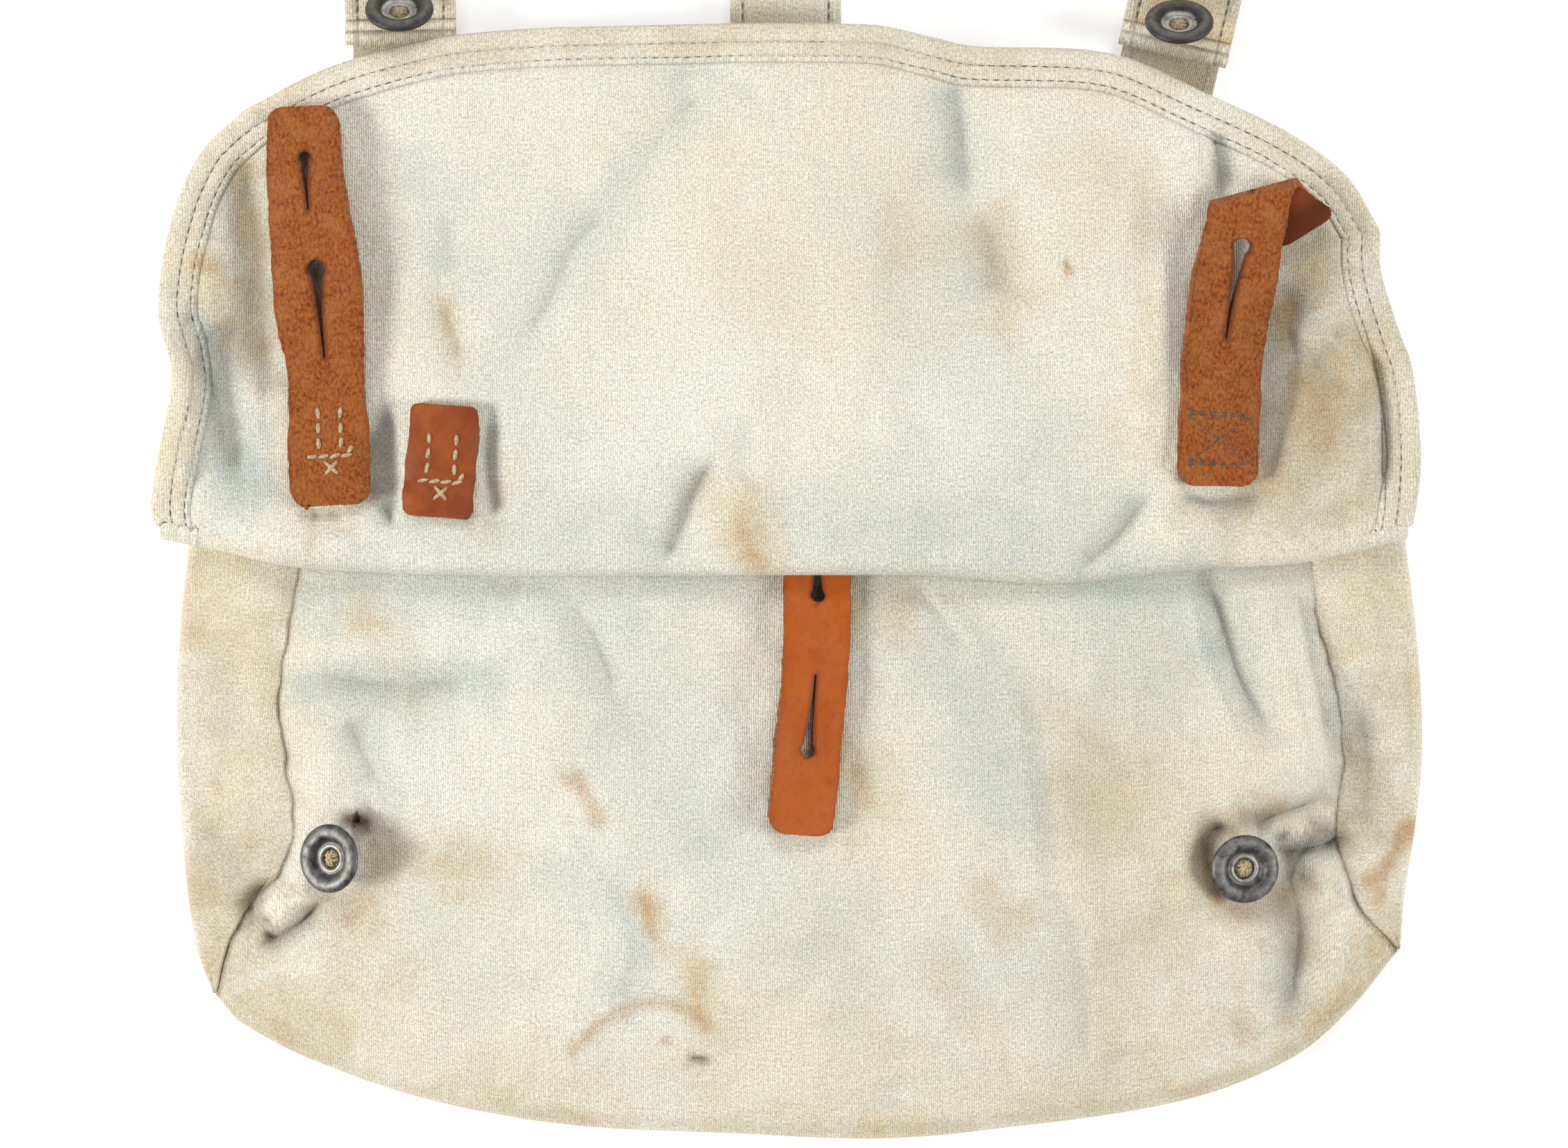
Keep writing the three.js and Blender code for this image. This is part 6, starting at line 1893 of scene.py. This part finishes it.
class HaversackStage(bpy.types.PropertyGroup):
    """Lights and camera."""

    left_power: strength("Left light", 84, "Power of the left light")
    right_power: strength("Right light", 56, "Power of the right light")
    top_power: strength("Top light", 34, "Power of the upper light")
    surround: strength("Surround", 0.31, "Strength of the pale surrounding", "NONE")
    camera_height: length("Camera height", 3000, "Camera above the floor")
    framed_height: length("Framed height", 12, "Height over the floor at which the frame fits the photograph")


class HaversackOperator:
    """What the operators share."""

    bl_options = {"REGISTER", "UNDO"}


class HAVERSACK_OT_bag(HaversackOperator, bpy.types.Operator):
    """Make the back, front and gussets"""

    bl_idname = "haversack.bag"
    bl_label = "Bag"

    def execute(self, context):
        back = bag_back()
        front = bag_front()
        left = bag_gusset("gusset_left", outline_left, seam_left, LEFT_CORNER, float(top_drop(0)), 1)
        right = bag_gusset("gusset_right", outline_right, seam_right, RIGHT_CORNER, float(top_drop(1)), -1)
        return {"FINISHED"}


class HAVERSACK_OT_flap(HaversackOperator, bpy.types.Operator):
    """Make the folded flap"""

    bl_idname = "haversack.flap"
    bl_label = "Flap"

    def execute(self, context):
        flap = flap_sheet()
        return {"FINISHED"}


class HAVERSACK_OT_straps(HaversackOperator, bpy.types.Operator):
    """Make the three belt straps"""

    bl_idname = "haversack.straps"
    bl_label = "Belt straps"

    def execute(self, context):
        nodes = ("belt_loop_left", "belt_loop_centre", "belt_loop_right")
        lengths = (0.154, 0.146, 0.156)
        for node, cut, (place, top, end, end_height) in zip(nodes, lengths, strap_places()):
            strap = belt_strap(node + "_cloth", node, place, top, end, end_height)
        return {"FINISHED"}


class HAVERSACK_OT_leather(HaversackOperator, bpy.types.Operator):
    """Make the leather tabs and the patch"""

    bl_idname = "haversack.leather"
    bl_label = "Leather"

    def execute(self, context):
        made = material_set()
        rough, grain, red = made["rough leather"], made["grain leather"], made["red leather"]
        hem_step = context.scene.haversack_sizes.hem_step / MM
        flesh_up, grain_up = [rough, red, rough], [grain, rough, rough]
        plain_tab("tab_left", TAB_LEFT, OUTER_SLOTS, flap_over, flesh_up, hem_step)
        plain_tab("tab_centre", TAB_CENTRE, CENTRE_SLOTS, front_height, grain_up)
        rolled_tab(flesh_up)
        leather_patch([red, rough, rough])
        return {"FINISHED"}


class HAVERSACK_OT_buttons(HaversackOperator, bpy.types.Operator):
    """Make the four buttons and their threads"""

    bl_idname = "haversack.buttons"
    bl_label = "Buttons"

    def execute(self, context):
        for place, names in (
            (BUTTON_LEFT, ("button_left", "button_thread_left")),
            (BUTTON_RIGHT, ("button_right", "button_thread_right")),
        ):
            x, y = place["x"] * HALF_BODY, place["y"] * BODY_HEIGHT
            sewn_button(place, x, y, float(front_height(x, y)) + CLOTH / 2, names)
        for place, names in (
            (STRAP_LEFT, ("loop_button_left", "loop_thread_left")),
            (STRAP_RIGHT, ("loop_button_right", "loop_thread_right")),
        ):
            x, y = on_strap(place, 0, FREE_END_HEIGHT + LOOP_BUTTON_ABOVE - place["drop"] * STRAP_WIDTH)
            sewn_button(LOOP_BUTTON, float(x), float(y), LOOP_END + STRAP_CLOTH / 2, names, 0.5)
        return {"FINISHED"}


class HAVERSACK_OT_stitches(HaversackOperator, bpy.types.Operator):
    """Make the stitches"""

    bl_idname = "haversack.stitches"
    bl_label = "Stitches"

    def execute(self, context):
        hem_stitches()
        strap_stitches()
        hand_stitches()
        box_stitches()
        return {"FINISHED"}


class HAVERSACK_OT_stage(HaversackOperator, bpy.types.Operator):
    """Set the floor, lights and camera"""

    bl_idname = "haversack.stage"
    bl_label = "Stage"

    def execute(self, context):
        build_floor()
        build_lights()
        build_camera()
        return {"FINISHED"}


OPERATORS = (
    HAVERSACK_OT_stage,
    HAVERSACK_OT_bag,
    HAVERSACK_OT_flap,
    HAVERSACK_OT_straps,
    HAVERSACK_OT_leather,
    HAVERSACK_OT_buttons,
    HAVERSACK_OT_stitches,
)


class HAVERSACK_PT_panel(bpy.types.Panel):
    """The haversack's sizes, colours and pieces"""

    bl_idname = "HAVERSACK_PT_panel"
    bl_label = "Haversack"
    bl_space_type = "VIEW_3D"
    bl_region_type = "UI"
    bl_category = "Haversack"

    def draw(self, context):
        for group in ("haversack_sizes", "haversack_colours", "haversack_stage"):
            values = getattr(context.scene, group)
            for name in values.bl_rna.properties.keys():
                if name not in ("rna_type", "name"):
                    self.layout.prop(values, name)
        for operator in OPERATORS:
            self.layout.operator(operator.bl_idname)


CLASSES = (HaversackSizes, HaversackColours, HaversackStage, *OPERATORS, HAVERSACK_PT_panel)


def register():
    for cls in CLASSES:
        bpy.utils.register_class(cls)
    bpy.types.Scene.haversack_sizes = bpy.props.PointerProperty(type=HaversackSizes)
    bpy.types.Scene.haversack_colours = bpy.props.PointerProperty(type=HaversackColours)
    bpy.types.Scene.haversack_stage = bpy.props.PointerProperty(type=HaversackStage)


def unregister():
    del bpy.types.Scene.haversack_stage
    del bpy.types.Scene.haversack_colours
    del bpy.types.Scene.haversack_sizes
    for cls in reversed(CLASSES):
        bpy.utils.unregister_class(cls)


def main():
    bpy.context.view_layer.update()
    register()
    bpy.ops.haversack.stage()
    bpy.ops.haversack.bag()
    bpy.ops.haversack.flap()
    bpy.ops.haversack.straps()
    bpy.ops.haversack.leather()
    bpy.ops.haversack.buttons()
    bpy.ops.haversack.stitches()


if __name__ == "__main__":
    main()
